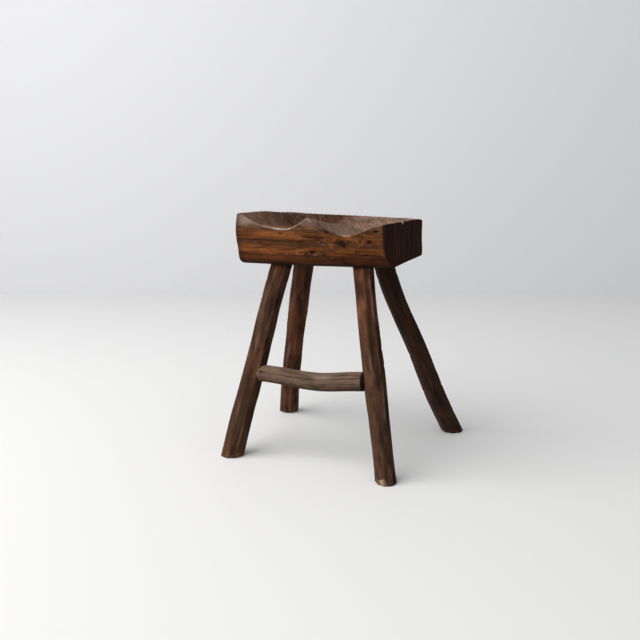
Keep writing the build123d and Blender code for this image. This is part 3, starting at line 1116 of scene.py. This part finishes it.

# %% [markdown]
# ## Where the seat is worn, and where its lip is painted bright
#
# Sitters have rubbed the lip in front of the left hollow and the pommel down to pale wood. Where
# the lip faces the window, above all on the pommel's left side, its paleness is also a painted
# highlight. The dip right of the pommel is left unworn and is darkened later as painted shade, and
# the far right of the top is bare again. How bare the lip is follows the photograph, as a line of
# values along it. Edge wear from the shader's Pointiness would treat every edge alike.

# %% Wear of the seat
hollow_side = (np.arange(block.shape[1]) > rim_middle)[None, :]
rag = soft_noise(block / np.array([9 * mm, 7 * mm, 6 * mm]), 151)
wear_places = (-162, -135, -104, -84, -50, -22, -11, -3, 8, 44, 56, 78, 100, 114, 140)
# How pale the lip is: partly wear, partly a painted highlight where it faces the window.
rim_wear_and_highlight = smooth_through(
    np.array(wear_places) * mm,
    (0.25, 0.25, 0.25, 0.65, 1.00, 0.60, 1.00, 0.40, 0.00, 0.00, 0.30, 0.42, 0.22, 0.12, 0.25), x)
rim_width = (1.3 + 5.5 * hollow_side * fade(x, 35 * mm, 65 * mm)) * mm
worn = bell(off_rim, rim_width) * rim_wear_and_highlight * fade(rag, 0.25, 0.75) * 1.15
worn = worn + 0.30 * bell(off_back_rim, 2.5 * mm) * rag
worn = worn + 0.30 * bell(end_distance, 3.0 * mm) * rag * faces_up
far_right = fade(x, 50 * mm, 125 * mm) * fade(seat_y, 0.0, 70 * mm)
worn = worn + 0.30 * far_right * faces_up * rag
worn = np.clip(worn * (1.0 - faces_end) + 0.30 * fade(check, 1.0 * mm, 4 * mm), 0.0, 1.0)
behind_lip = hollow_side * faces_up * bell(off_rim, 24 * mm)
behind_lip = behind_lip * fade(x, -105 * mm, -85 * mm) * (1.0 - fade(x, -34 * mm, -14 * mm))
worn = np.maximum(worn, 0.42 * behind_lip * (0.8 + 0.5 * hatch))
print("worn share of the seat:", round(float(worn.mean()), 3))

# %% [markdown]
# ## Where dust lies
#
# Dust greys the floor of each hollow, and the upper left of the front face. It lies in the
# strokes of the gouge, so the hatching that shaped them thins it out. Dust made from the upward
# normal alone would lie just as thick on both sides of the pommel, and it doesn't.

# %% Dust on the seat
left_side = 1.0 - fade(x, -38 * mm, 10 * mm)
near_front = fade(-seat_y, -35 * mm, 50 * mm)
off_horn = fade(x, -118 * mm, -78 * mm)
left_dust = 0.10 + 0.70 * near_front * off_horn + 0.32 * hatch
left_dust = left_dust + 0.35 * bell(off_rim, 14 * mm)
right_dust = 0.76 + 0.20 * near_front + 0.45 * hatch
dust = faces_up * (left_side * left_dust + (1.0 - left_side) * right_dust)
horn_dust = smooth_through(
    np.array([-162, -125, -95, -60, -20, 0, 20, 140]) * mm,
    (0.85, 0.75, 0.25, 0.20, 0.30, 0.25, 0.08, 0.20), x)
dust = dust + horn_dust * fade(up_share, 0.70, 0.88) * faces_front * (1.0 + 0.6 * late_wood)
dust = np.clip(dust, 0.0, 1.0)
print("dusty share of the seat:", round(float(dust.mean()), 3))

# %% [markdown]
# ## Stains on the front face
#
# The front is blotched by hand and weather: dark stains round the knots, pale chips beside the
# holes, and two places where the orange heartwood shows clean. They are soft round patches at
# the places where the photograph has them, each a bell with its own strength.


# %% Dark, pale and orange spots
def spots(table):
    """Soft round patches on the front: the strongest of the bells over their places."""
    total = np.zeros_like(x)
    for *mark, strength in table:
        total = np.maximum(total, strength * np.exp(-away_from(*mark)))
    return total * faces_front


# Place (mm), height share, half sizes (mm), strength
dark_spots = spots((
    (60.0, 0.49, 8.5, 10.0, 1.15), (22.0, 0.68, 20.0, 6.0, 0.60), (4.0, 0.58, 20.0, 7.0, 0.75),
    (14.0, 0.47, 12.0, 6.0, 0.45), (-4.0, 0.31, 14.0, 6.0, 0.50), (54.0, 0.19, 11.0, 4.5, 0.85),
    (76.0, 0.22, 16.0, 4.0, 0.50), (62.0, 0.10, 16.0, 3.5, 0.75), (12.0, 0.15, 14.0, 4.0, 0.35),
    (90.0, 0.63, 10.0, 4.0, 0.45), (120.0, 0.48, 8.0, 10.0, 0.35),
))
pale_spots = spots((
    (11.6, 0.518, 3.0, 1.2, 0.26), (22.0, 0.462, 3.4, 1.1, 0.20), (3.0, 0.262, 4.5, 1.6, 0.32),
    (9.5, 0.243, 3.0, 1.2, 0.22), (-28.7, 0.272, 2.6, 1.1, 0.20), (89.6, 0.452, 3.4, 1.1, 0.16),
))
orange_spots = spots((
    (36.0, 0.45, 12.0, 12.0, 1.00), (86.0, 0.42, 18.0, 5.0, 0.50), (30.0, 0.13, 8.0, 4.0, 0.90),
))
worn = np.maximum(worn, pale_spots * (0.5 + rag))
print("points under a dark spot:", int((dark_spots > 0.1).sum()))

# %% [markdown]
# ## Where dirt and painted shade lie
#
# The sawn ends drink dirt and are nearly black, in streaks from the saw. The underside, the pits,
# the lines and the low edge are dark too. The back of the left hollow is dark with dirt and with
# painted shade from the left horn, and the dip right of the pommel with painted shade. All of it
# is one sum of masks, thinned out where the orange wood shows, and kept between 0 and 1.

# %% Grime on the seat
side_edge = 1.0 - fade(end_distance, 4 * mm, 18 * mm)
low_edge = 1.0 - fade(up_share, 0.02, 0.16)
blotch = unevenness(block, (14 * mm, 20 * mm, 5 * mm), 161)
end_streak = unevenness(block, (1.0, 4 * mm, 50 * mm), 162)
# Painted shade on the pommel's right flank near the lip, the side turned away from the window.
shaded_pommel_flank = fade(x, 0.0, 10 * mm) * (1.0 - fade(x, 42 * mm, 60 * mm))
shaded_pommel_flank = shaded_pommel_flank * bell(off_rim, (5.0 + 20.0 * hollow_side) * mm)
grime_and_shade = (0.74 - 0.50 * end_streak) * faces_end + 0.75 * faces_down + 1.3 * pits + line_dark
grime_and_shade = grime_and_shade + dark_spots * np.clip(0.90 + 0.6 * blotch, 0.0, 1.3) + 0.55 * shaded_pommel_flank
grime_and_shade = grime_and_shade * (1.0 - 0.7 * fade(check, 0.5 * mm, 3.0 * mm)) + 0.6 * end_crack
grime_and_shade = grime_and_shade * (1.0 - orange_spots)
grime_and_shade = grime_and_shade + 0.45 * side_edge * faces_front * left_side
grime_and_shade = grime_and_shade + 0.30 * fade(blotch, 0.15, 0.75) * faces_front
grime_and_shade = grime_and_shade + 0.45 * low_edge * faces_front * (0.12 + 1.08 * left_side)
# Dirt and painted shade at the back of the left hollow, where the left horn shades it.
grime_and_shade = grime_and_shade + faces_up * left_side * (1.0 - near_front) * (0.58 - 0.35 * hatch)
grime_and_shade = grime_and_shade + 0.22 * faces_up * (1.0 - left_side) * fade(-hatch, 0.0, 0.6)
grime_and_shade = np.clip(grime_and_shade, 0.0, 1.0)
print("dirty share of the seat:", round(float(grime_and_shade.mean()), 3))

# %% [markdown]
# ## The streaks of the heartwood
#
# Sawn heartwood shows orange and brown bands that run along the block and swirl round its knots.
# Blender's Wave texture gives straight or round bands, but not these. The height up the block,
# pushed up or down round each knot, is the coordinate that the bands follow: wherever it has one
# value, the wood has one colour.

# %% Streak coordinate
# Place (mm), height share, half sizes (mm), lift
knots = (
    (2.0, 0.30, 20.0, 11.0, 0.16), (36.0, 0.46, 14.0, 11.0, -0.12), (60.0, 0.52, 16.0, 10.0, 0.12),
    (-28.0, 0.28, 14.0, 8.0, 0.08), (110.0, 0.52, 18.0, 9.0, -0.10), (36.0, 0.17, 14.0, 8.0, 0.10),
    (122.0, 0.15, 30.0, 9.0, 0.09),
)
swirl = unevenness(block, (34 * mm, 30 * mm, 16 * mm), 165)
streak = up_share + 0.022 * late_wood + 0.016 * blotch + (0.015 + 0.05 * knotty) * swirl
for *mark, lift in knots:
    away = away_from(*mark)
    streak = streak + lift * np.exp(-away) * np.cos(3.2 * np.sqrt(away)) * faces_front
streak = streak + faces_back * (0.07 + 0.05 * np.sin(x / (45 * mm)) + 0.08 * blotch)
streak = streak * (1.0 - faces_end) + 0.07 * faces_end
grain_place = block.copy()
grain_place[..., 2] += (streak - up_share) * faces_front * seat_size[2]
ends = np.abs(x - seat_middle[0]) > seat_size[0] / 2.0 - 1.5 * mm
grain_place[ends] = grain_place[ends][:, ::-1]
for layer, values in (("grain_place", grain_place), ("worn", worn), ("dust", dust),
                      ("grime_and_shade", grime_and_shade), ("streak", np.clip(streak, 0.0, 1.0))):
    paint(seat, layer, values)
print("streak coordinate from", streak.min().round(2), "to", streak.max().round(2))

# %% [markdown]
# ## Node helpers
#
# A material is a small graph. It could be wired by hand in the Shader Editor. These helpers add
# a node, fill its sockets with plain values or with links from other nodes, and hand back the
# socket that comes out, so that a graph reads from the inside out like a sum.


# %% Small helpers for node graphs
def add_node(tree, kind, sockets=None, **options):
    """Add a node, set its options, and fill the named or numbered sockets."""
    made = tree.nodes.new(kind)
    for key, value in options.items():
        setattr(made, key, value)
    for socket, value in (sockets or {}).items():
        if isinstance(value, bpy.types.NodeSocket):
            tree.links.new(value, made.inputs[socket])
        else:
            made.inputs[socket].default_value = value
    return made


def calc(tree, operation, first, second=0.0, third=0.0, clamp=False):
    """One sum on numbers."""
    made = add_node(tree, "ShaderNodeMath", {0: first, 1: second, 2: third},
                    operation=operation, use_clamp=clamp)
    return made.outputs[0]


def mixed(tree, share, first, second):
    """A colour between first and second."""
    made = add_node(tree, "ShaderNodeMix", {0: share, 6: first, 7: second}, data_type="RGBA")
    return made.outputs[2]


def grain_noise(tree, place, stretch, detail, roughness=0.55):
    """Noise whose lumps are as many per metre along and across the grain as stretch says."""
    scaled = add_node(tree, "ShaderNodeVectorMath", {0: place, 1: stretch}, operation="MULTIPLY")
    made = add_node(tree, "ShaderNodeTexNoise",
                    {"Vector": scaled.outputs[0], "Scale": 1.0, "Detail": detail,
                     "Roughness": roughness})
    return made.outputs["Fac"]


def between(tree, value, low, high):
    """0 below low, 1 above high, smooth between."""
    made = add_node(tree, "ShaderNodeMapRange",
                    {"Value": value, "From Min": low, "From Max": high},
                    interpolation_type="SMOOTHSTEP")
    return made.outputs[0]


print("helpers for:", add_node.__name__, calc.__name__, mixed.__name__, between.__name__)

# %% [markdown]
# ## Old timber, as a group
#
# All six pieces share one kind of surface: long darker streaks, fine fibres, hairline drying
# cracks, bare wood where it is rubbed, grey dust, and black dirt that also paints shade where its
# mask says so. Three separate materials would repeat these nodes three times. As one group they
# are placed in each material with that piece's own colours. The group puts out a colour, a
# roughness and a height.

# %% The timber group's sockets and noises
timber = bpy.data.node_groups.new("old_timber", "ShaderNodeTree")
group_inputs = (
    ("Grain Place", "NodeSocketVector", (0.0, 0.0, 0.0)),
    ("Wood", "NodeSocketColor", (0.2, 0.1, 0.05, 1.0)),
    ("Streak", "NodeSocketColor", (0.05, 0.03, 0.02, 1.0)),
    ("Bare Wood", "NodeSocketColor", (0.4, 0.3, 0.2, 1.0)),
    ("Dust Colour", "NodeSocketColor", (0.2, 0.15, 0.12, 1.0)),
    ("Dirt And Shade Colour", "NodeSocketColor", (0.02, 0.012, 0.008, 1.0)),
    ("Streak Amount", "NodeSocketFloat", 0.5),
    ("Worn", "NodeSocketFloat", 0.0),
    ("Dust", "NodeSocketFloat", 0.0),
    ("Dirt And Shade", "NodeSocketFloat", 0.0),
)
for socket_name, socket_kind, default in group_inputs:
    made = timber.interface.new_socket(socket_name, in_out="INPUT", socket_type=socket_kind)
    made.default_value = default
for socket_name, socket_kind in (("Color", "NodeSocketColor"), ("Roughness", "NodeSocketFloat"),
                                 ("Height", "NodeSocketFloat")):
    timber.interface.new_socket(socket_name, in_out="OUTPUT", socket_type=socket_kind)

given = timber.nodes.new("NodeGroupInput").outputs
place = given["Grain Place"]
streaks = grain_noise(timber, place, (9.0, 230.0, 230.0), 4.0, 0.62)
fibres = grain_noise(timber, place, (45.0, 1500.0, 1500.0), 3.0)
clouds = grain_noise(timber, place, (26.0, 60.0, 60.0), 3.0)
speck = grain_noise(timber, place, (420.0, 900.0, 900.0), 2.0)
split = grain_noise(timber, place, (7.0, 330.0, 330.0), 2.0, 0.4)
flecks = grain_noise(timber, place, (110.0, 620.0, 620.0), 3.0, 0.65)
print("old_timber:", len(group_inputs), "inputs")

# %% [markdown]
# ## Old timber: one layer over another
#
# The colour is laid on as a finisher would see it: the wood, its dark streaks, clouds and
# flecks, then dust, then cracks and dirt with painted shade, and bare wood last, because rubbing
# takes all the rest off; on the seat's lip the bare wood is also a painted highlight. Each layer
# is a colour mixed in by its own mask. Dust dulls the surface and bare wood shines a little. The
# fibres stand up and the cracks go in.

# %% The timber group's layers
streak_mask = between(timber, calc(timber, "ADD", streaks, calc(timber, "MULTIPLY", fibres, 0.30)),
                      0.58, 0.80)
streak_mask = calc(timber, "MULTIPLY", streak_mask, given["Streak Amount"], clamp=True)
colour = mixed(timber, streak_mask, given["Wood"], given["Streak"])
cloud_dark = calc(timber, "MULTIPLY", between(timber, clouds, 0.42, 0.66), 0.42)
colour = mixed(timber, cloud_dark, colour, given["Streak"])
fleck_mask = calc(timber, "MULTIPLY", between(timber, flecks, 0.53, 0.66), 0.50)
colour = mixed(timber, fleck_mask, colour, given["Streak"])
dust_mask = calc(timber, "MULTIPLY", given["Dust"],
                 calc(timber, "MULTIPLY_ADD", fibres, 1.1, 0.35), clamp=True)
colour = mixed(timber, dust_mask, colour, given["Dust Colour"])
crack_mask = calc(timber, "SUBTRACT", 1.0, between(
    timber, calc(timber, "ABSOLUTE", calc(timber, "SUBTRACT", split, 0.5)), 0.004, 0.020))
crack_mask = calc(timber, "MULTIPLY", crack_mask, between(timber, clouds, 0.40, 0.60))
# Dirt, and painted shade where the piece's mask holds it.
dirt_and_shade_mask = calc(timber, "MULTIPLY", given["Dirt And Shade"],
                 calc(timber, "MULTIPLY_ADD", speck, 0.5, 0.72), clamp=True)
dirt_and_shade_mask = calc(timber, "MAXIMUM", dirt_and_shade_mask, calc(timber, "MULTIPLY", crack_mask, 0.75))
colour = mixed(timber, dirt_and_shade_mask, colour, given["Dirt And Shade Colour"])
bare_mask = calc(timber, "MULTIPLY", given["Worn"],
                 calc(timber, "MULTIPLY_ADD", streaks, 1.0, 0.45), clamp=True)
colour = mixed(timber, bare_mask, colour, given["Bare Wood"])
roughness = calc(timber, "MULTIPLY_ADD", fibres, 0.22, 0.52)
roughness = calc(timber, "MULTIPLY_ADD", dust_mask, 0.18, roughness)
roughness = calc(timber, "MULTIPLY_ADD", bare_mask, -0.08, roughness, clamp=True)
height = calc(timber, "MULTIPLY_ADD", fibres, 0.35, calc(timber, "MULTIPLY", streaks, 0.5))
height = calc(timber, "MULTIPLY_ADD", crack_mask, -0.8, height)
group_out = timber.nodes.new("NodeGroupOutput")
timber.links.new(colour, group_out.inputs["Color"])
timber.links.new(roughness, group_out.inputs["Roughness"])
timber.links.new(height, group_out.inputs["Height"])
print("old_timber:", len(timber.nodes), "nodes")

# %% [markdown]
# ## Three woods
#
# The seat's heartwood is banded, so its wood colour is a ramp over the streak coordinate. The
# legs are dark and handled, the stretcher is dry and grey-brown. Only the colours and the masks
# differ, so the rest is one function. Old wood has almost no shine, so the specular level is low.


# %% Material builder
def wood_material(name, pieces, colours, streak_amount, masks, wood=None, sheen=0.05):
    """A Principled material around the timber group, given to each of the pieces."""
    material = bpy.data.materials.new(name)
    material.use_nodes = True
    tree = material.node_tree
    shader = tree.nodes["Principled BSDF"]

    def read(layer, output="Fac"):
        """One output of a mask that was painted on the piece."""
        return add_node(tree, "ShaderNodeAttribute", attribute_name=layer).outputs[output]

    group = add_node(tree, "ShaderNodeGroup", node_tree=timber)
    tree.links.new(read("grain_place", "Vector"), group.inputs["Grain Place"])
    for socket, value in colours.items():
        group.inputs[socket].default_value = value + (1.0,)
    group.inputs["Streak Amount"].default_value = streak_amount
    for socket, layer in masks.items():
        tree.links.new(read(layer), group.inputs[socket])
    if wood:
        tree.links.new(wood(tree, read), group.inputs["Wood"])
    bump = add_node(tree, "ShaderNodeBump",
                    {"Strength": 0.8, "Distance": 0.0018, "Height": group.outputs["Height"]})
    tree.links.new(group.outputs["Color"], shader.inputs["Base Color"])
    tree.links.new(group.outputs["Roughness"], shader.inputs["Roughness"])
    tree.links.new(bump.outputs[0], shader.inputs["Normal"])
    shader.inputs["Specular IOR Level"].default_value = sheen
    for piece in pieces:
        piece.data.materials.append(material)
    print(name, "is on", len(pieces), "pieces")


print("a wood can be given:", ", ".join(name for name, _, _ in group_inputs))

# %% [markdown]
# ## The seat's bands
#
# The bands run from the dark red underside through two orange belts, with the brown line of the
# long check between them, to the grey-brown under the lip. Noise along the grain makes their
# edges ragged. A colour ramp holds the tints, so that each can be moved or mixed by eye.


# %% Wood colours that vary
def banded(tree, read):
    """The seat's wood colour: bands over the streak coordinate, from the underside up."""
    noise = grain_noise(tree, read("grain_place", "Vector"), (14.0, 120.0, 120.0), 5.0)
    centred = calc(tree, "SUBTRACT", noise, 0.5)
    coordinate = calc(tree, "MULTIPLY_ADD", centred, 0.20, read("streak"))
    ramp = add_node(tree, "ShaderNodeValToRGB", {"Fac": coordinate})
    bands = (
        (0.00, (0.070, 0.024, 0.010)),
        (0.12, (0.120, 0.036, 0.011)),
        (0.21, (0.118, 0.036, 0.011)),
        (0.27, (0.225, 0.070, 0.019)),
        (0.33, (0.275, 0.088, 0.021)),
        (0.40, (0.205, 0.064, 0.018)),
        (0.46, (0.120, 0.045, 0.018)),
        (0.51, (0.075, 0.031, 0.014)),
        (0.56, (0.215, 0.070, 0.020)),
        (0.62, (0.260, 0.086, 0.022)),
        (0.68, (0.195, 0.066, 0.021)),
        (0.73, (0.130, 0.052, 0.024)),
        (0.82, (0.160, 0.070, 0.034)),
        (1.00, (0.150, 0.084, 0.054)),
    )
    stops = ramp.color_ramp.elements
    for stop, (position, tint) in zip([stops[0], stops[1]], (bands[0], bands[-1])):
        stop.position = position
        stop.color = tint + (1.0,)
    for position, tint in bands[1:-1]:
        stops.new(position).color = tint + (1.0,)
    return ramp.outputs["Color"]


def leg_wood(tree, read):
    """A leg's wood colour, kept point by point."""
    return read("tone", "Color")


print("colours that vary:", banded.__doc__, leg_wood.__doc__)

# %% [markdown]
# ## The seat, the legs and the stretcher
#
# The colours are the stain and the wood as they are, without light: dark heartwood with a pale
# bare wood under it, black-brown legs, and a rail that was never stained. The dirt colour also
# stands for painted shade where the masks put it. Only the seat is dusty.

# %% The three materials
wood_material(
    "seat_heartwood", [seat],
    {"Streak": (0.052, 0.022, 0.011), "Bare Wood": (0.480, 0.380, 0.310),
     "Dust Colour": (0.245, 0.171, 0.132), "Dirt And Shade Colour": (0.0185, 0.0080, 0.0042)},
    0.40, {"Worn": "worn", "Dust": "dust", "Dirt And Shade": "grime_and_shade"}, banded)
wood_material(
    "leg_hewn_wood", leg_pieces,
    {"Streak": (0.034, 0.016, 0.009), "Bare Wood": (0.260, 0.150, 0.090),
     "Dirt And Shade Colour": (0.011, 0.005, 0.003)},
    0.50, {"Worn": "worn", "Dirt And Shade": "grime_and_shade"}, leg_wood, 0.10)
wood_material(
    "stretcher_wood", [stretcher],
    {"Wood": (0.160, 0.100, 0.068), "Streak": (0.062, 0.036, 0.023),
     "Bare Wood": (0.250, 0.180, 0.135), "Dirt And Shade Colour": (0.022, 0.014, 0.010)},
    0.50, {"Worn": "worn", "Dirt And Shade": "grime_and_shade"})

# %% [markdown]
# ## The room
#
# The stool stands in a pale room. A plane for the floor and one for the wall would do, but one
# sheet can't come apart: a line that runs away from the camera and turns up 1.95 m behind the
# stool, carried sideways. Its corner is tight, because the photograph shows where floor and wall
# meet.

# %% Floor and wall
wall_distance = 1.95
wall_top = 3.2
room_reach = 7.0
corner_radius = 0.001
corner_turn = np.linspace(0.0, math.pi / 2.0, 9)
corner_start = wall_distance - corner_radius
line_ahead = np.concatenate([
    [-room_reach], corner_start + corner_radius * np.sin(corner_turn), [wall_distance]])
line_up = np.concatenate([
    [0.0], corner_radius - corner_radius * np.cos(corner_turn), [wall_top]])
sideways = np.array([-room_reach, room_reach])[None, :, None] * np.array(rightward)
away = line_ahead[:, None, None] * np.array(ahead)
sheet = sideways + away + line_up[:, None, None] * np.array([0.0, 0.0, 1.0])
corners = np.arange(len(line_ahead) * 2).reshape(-1, 2)
strips = np.stack([corners[:-1, 0], corners[:-1, 1], corners[1:, 1], corners[1:, 0]], axis=-1)
room_mesh = bpy.data.meshes.new("room")
room_mesh.from_pydata(sheet.reshape(-1, 3).tolist(), [], strips.tolist())
room_mesh.update()
room = bpy.data.objects.new("room", room_mesh)
bpy.context.scene.collection.objects.link(room)
room.visible_glossy = False
print("room faces:", len(room_mesh.polygons))

# %% [markdown]
# ## The room's paint
#
# In the photograph the floor is a little darker near the camera and the wall a little bluer.
# That is painted on by the place in the room, so it is the same from every side; the darker floor
# near the camera is a painted shade. A sheet this large and this pale would flood the stool with
# light from below, which a real room with furniture in it doesn't do, so rays that have scattered
# once see it as a middle grey. Seen from behind, the wall must not hide the stool, so its back is
# clear to the camera.

# %% Paint of the room
scattered_tone = (0.45, 0.45, 0.45, 1.0)
# The floor near the camera is painted darker: a painted shade.
shaded_near_floor, far_floor = (0.80, 0.80, 0.792, 1.0), (0.915, 0.915, 0.915, 1.0)
wall_tone = (0.81, 0.814, 0.826, 1.0)
room_paint = bpy.data.materials.new("pale_room")
room_paint.use_nodes = True
room_tree = room_paint.node_tree
room_shader = room_tree.nodes["Principled BSDF"]
room_place = room_tree.nodes.new("ShaderNodeTexCoord").outputs["Object"]
height_above = add_node(room_tree, "ShaderNodeSeparateXYZ", {0: room_place}).outputs[2]
distance_ahead = add_node(room_tree, "ShaderNodeVectorMath", {0: room_place, 1: ahead},
                          operation="DOT_PRODUCT").outputs["Value"]
wall_share = between(room_tree, height_above, 0.0, 0.0005)
far_share = between(room_tree, distance_ahead, -1.0, wall_distance)
floor_colour_and_shade = mixed(room_tree, far_share, shaded_near_floor, far_floor)
wall_and_floor = mixed(room_tree, wall_share, floor_colour_and_shade, wall_tone)
light_path = room_tree.nodes.new("ShaderNodeLightPath").outputs
room_colour = mixed(room_tree, light_path["Is Diffuse Ray"], wall_and_floor, scattered_tone)
room_tree.links.new(room_colour, room_shader.inputs["Base Color"])
room_shader.inputs["Roughness"].default_value = 0.6
room_shader.inputs["Specular IOR Level"].default_value = 0.2
clear = room_tree.nodes.new("ShaderNodeBsdfTransparent")
choose = room_tree.nodes.new("ShaderNodeMixShader")
hidden = calc(room_tree, "MULTIPLY",
              room_tree.nodes.new("ShaderNodeNewGeometry").outputs["Backfacing"],
              light_path["Is Camera Ray"])
room_tree.links.new(hidden, choose.inputs[0])
room_tree.links.new(room_shader.outputs[0], choose.inputs[1])
room_tree.links.new(clear.outputs[0], choose.inputs[2])
room_tree.links.new(choose.outputs[0], room_tree.nodes["Material Output"].inputs["Surface"])
room_mesh.materials.append(room_paint)
print("room paint:", len(room_tree.nodes), "nodes")

# %% [markdown]
# ## The light
#
# The light is one large soft window from the camera's left, a little in front of the stool and
# 42 degrees up, so the shadows run to the right and the right end of the seat stays dark. A sun
# lamp would give hard shadows, and an area light this large gives the soft ones that the
# photograph has. The window itself is hidden from the camera.

# %% Window
window_side = 3.2
window_power = 80.0
window_distance = 2.7
window_height = math.radians(42.0)
window_turn = math.radians(27.0)
window_data = bpy.data.lights.new("window", "AREA")
window_data.shape = "RECTANGLE"
window_data.size = window_side
window_data.size_y = window_side
window_data.energy = window_power
window_data.color = (1.0, 0.985, 0.965)
window = bpy.data.objects.new("window", window_data)
flat_direction = -rightward * math.cos(window_turn) - ahead * math.sin(window_turn)
toward_window = flat_direction * math.cos(window_height) + Vector((0, 0, math.sin(window_height)))
window.location = Vector((0.0, 0.0, 0.25)) + toward_window * window_distance
window.rotation_euler = toward_window.to_track_quat("Z", "Y").to_euler()
window.visible_camera = False
bpy.context.scene.collection.objects.link(window)
print("window", window_data.energy, "W")

# %% [markdown]
# ## The sky
#
# A dim sky stands for what the white room sends back. It is brightest on the window's side and
# darkest opposite, which keeps the shaded sides of the legs dark without a second lamp. Where
# the camera sees past the room, it shows a pale grey instead.

# %% Sky
sky_dark, sky_bright, sky_seen = 0.14, 1.00, 0.80
sky = bpy.data.worlds.new("sky")
sky.use_nodes = True
sky_tree = sky.node_tree
background = sky_tree.nodes["Background"]
background.inputs["Color"].default_value = (0.97, 0.98, 1.0, 1.0)
looking = add_node(sky_tree, "ShaderNodeVectorMath", {
    0: sky_tree.nodes.new("ShaderNodeTexCoord").outputs["Generated"],
    1: flat_direction}, operation="DOT_PRODUCT").outputs["Value"]
glow = add_node(sky_tree, "ShaderNodeMapRange", {
    "Value": looking, "From Min": -1.0, "From Max": 1.0,
    "To Min": sky_dark, "To Max": sky_bright}).outputs[0]
is_camera_ray = sky_tree.nodes.new("ShaderNodeLightPath").outputs["Is Camera Ray"]
to_camera = calc(sky_tree, "MULTIPLY", is_camera_ray, sky_seen)
strength = calc(sky_tree, "MAXIMUM", glow, to_camera)
sky_tree.links.new(strength, background.inputs["Strength"])
bpy.context.scene.world = sky
bpy.context.scene.view_settings.view_transform = "Standard"
print("sky from", sky_dark, "to", sky_bright)

# %% [markdown]
# ## Sizes, and the end
#
# The finished stool must have the size of the CAD model that it stands for. Bumps of the hewn
# surface may pass its box by a millimetre or two, so both boxes are kept.
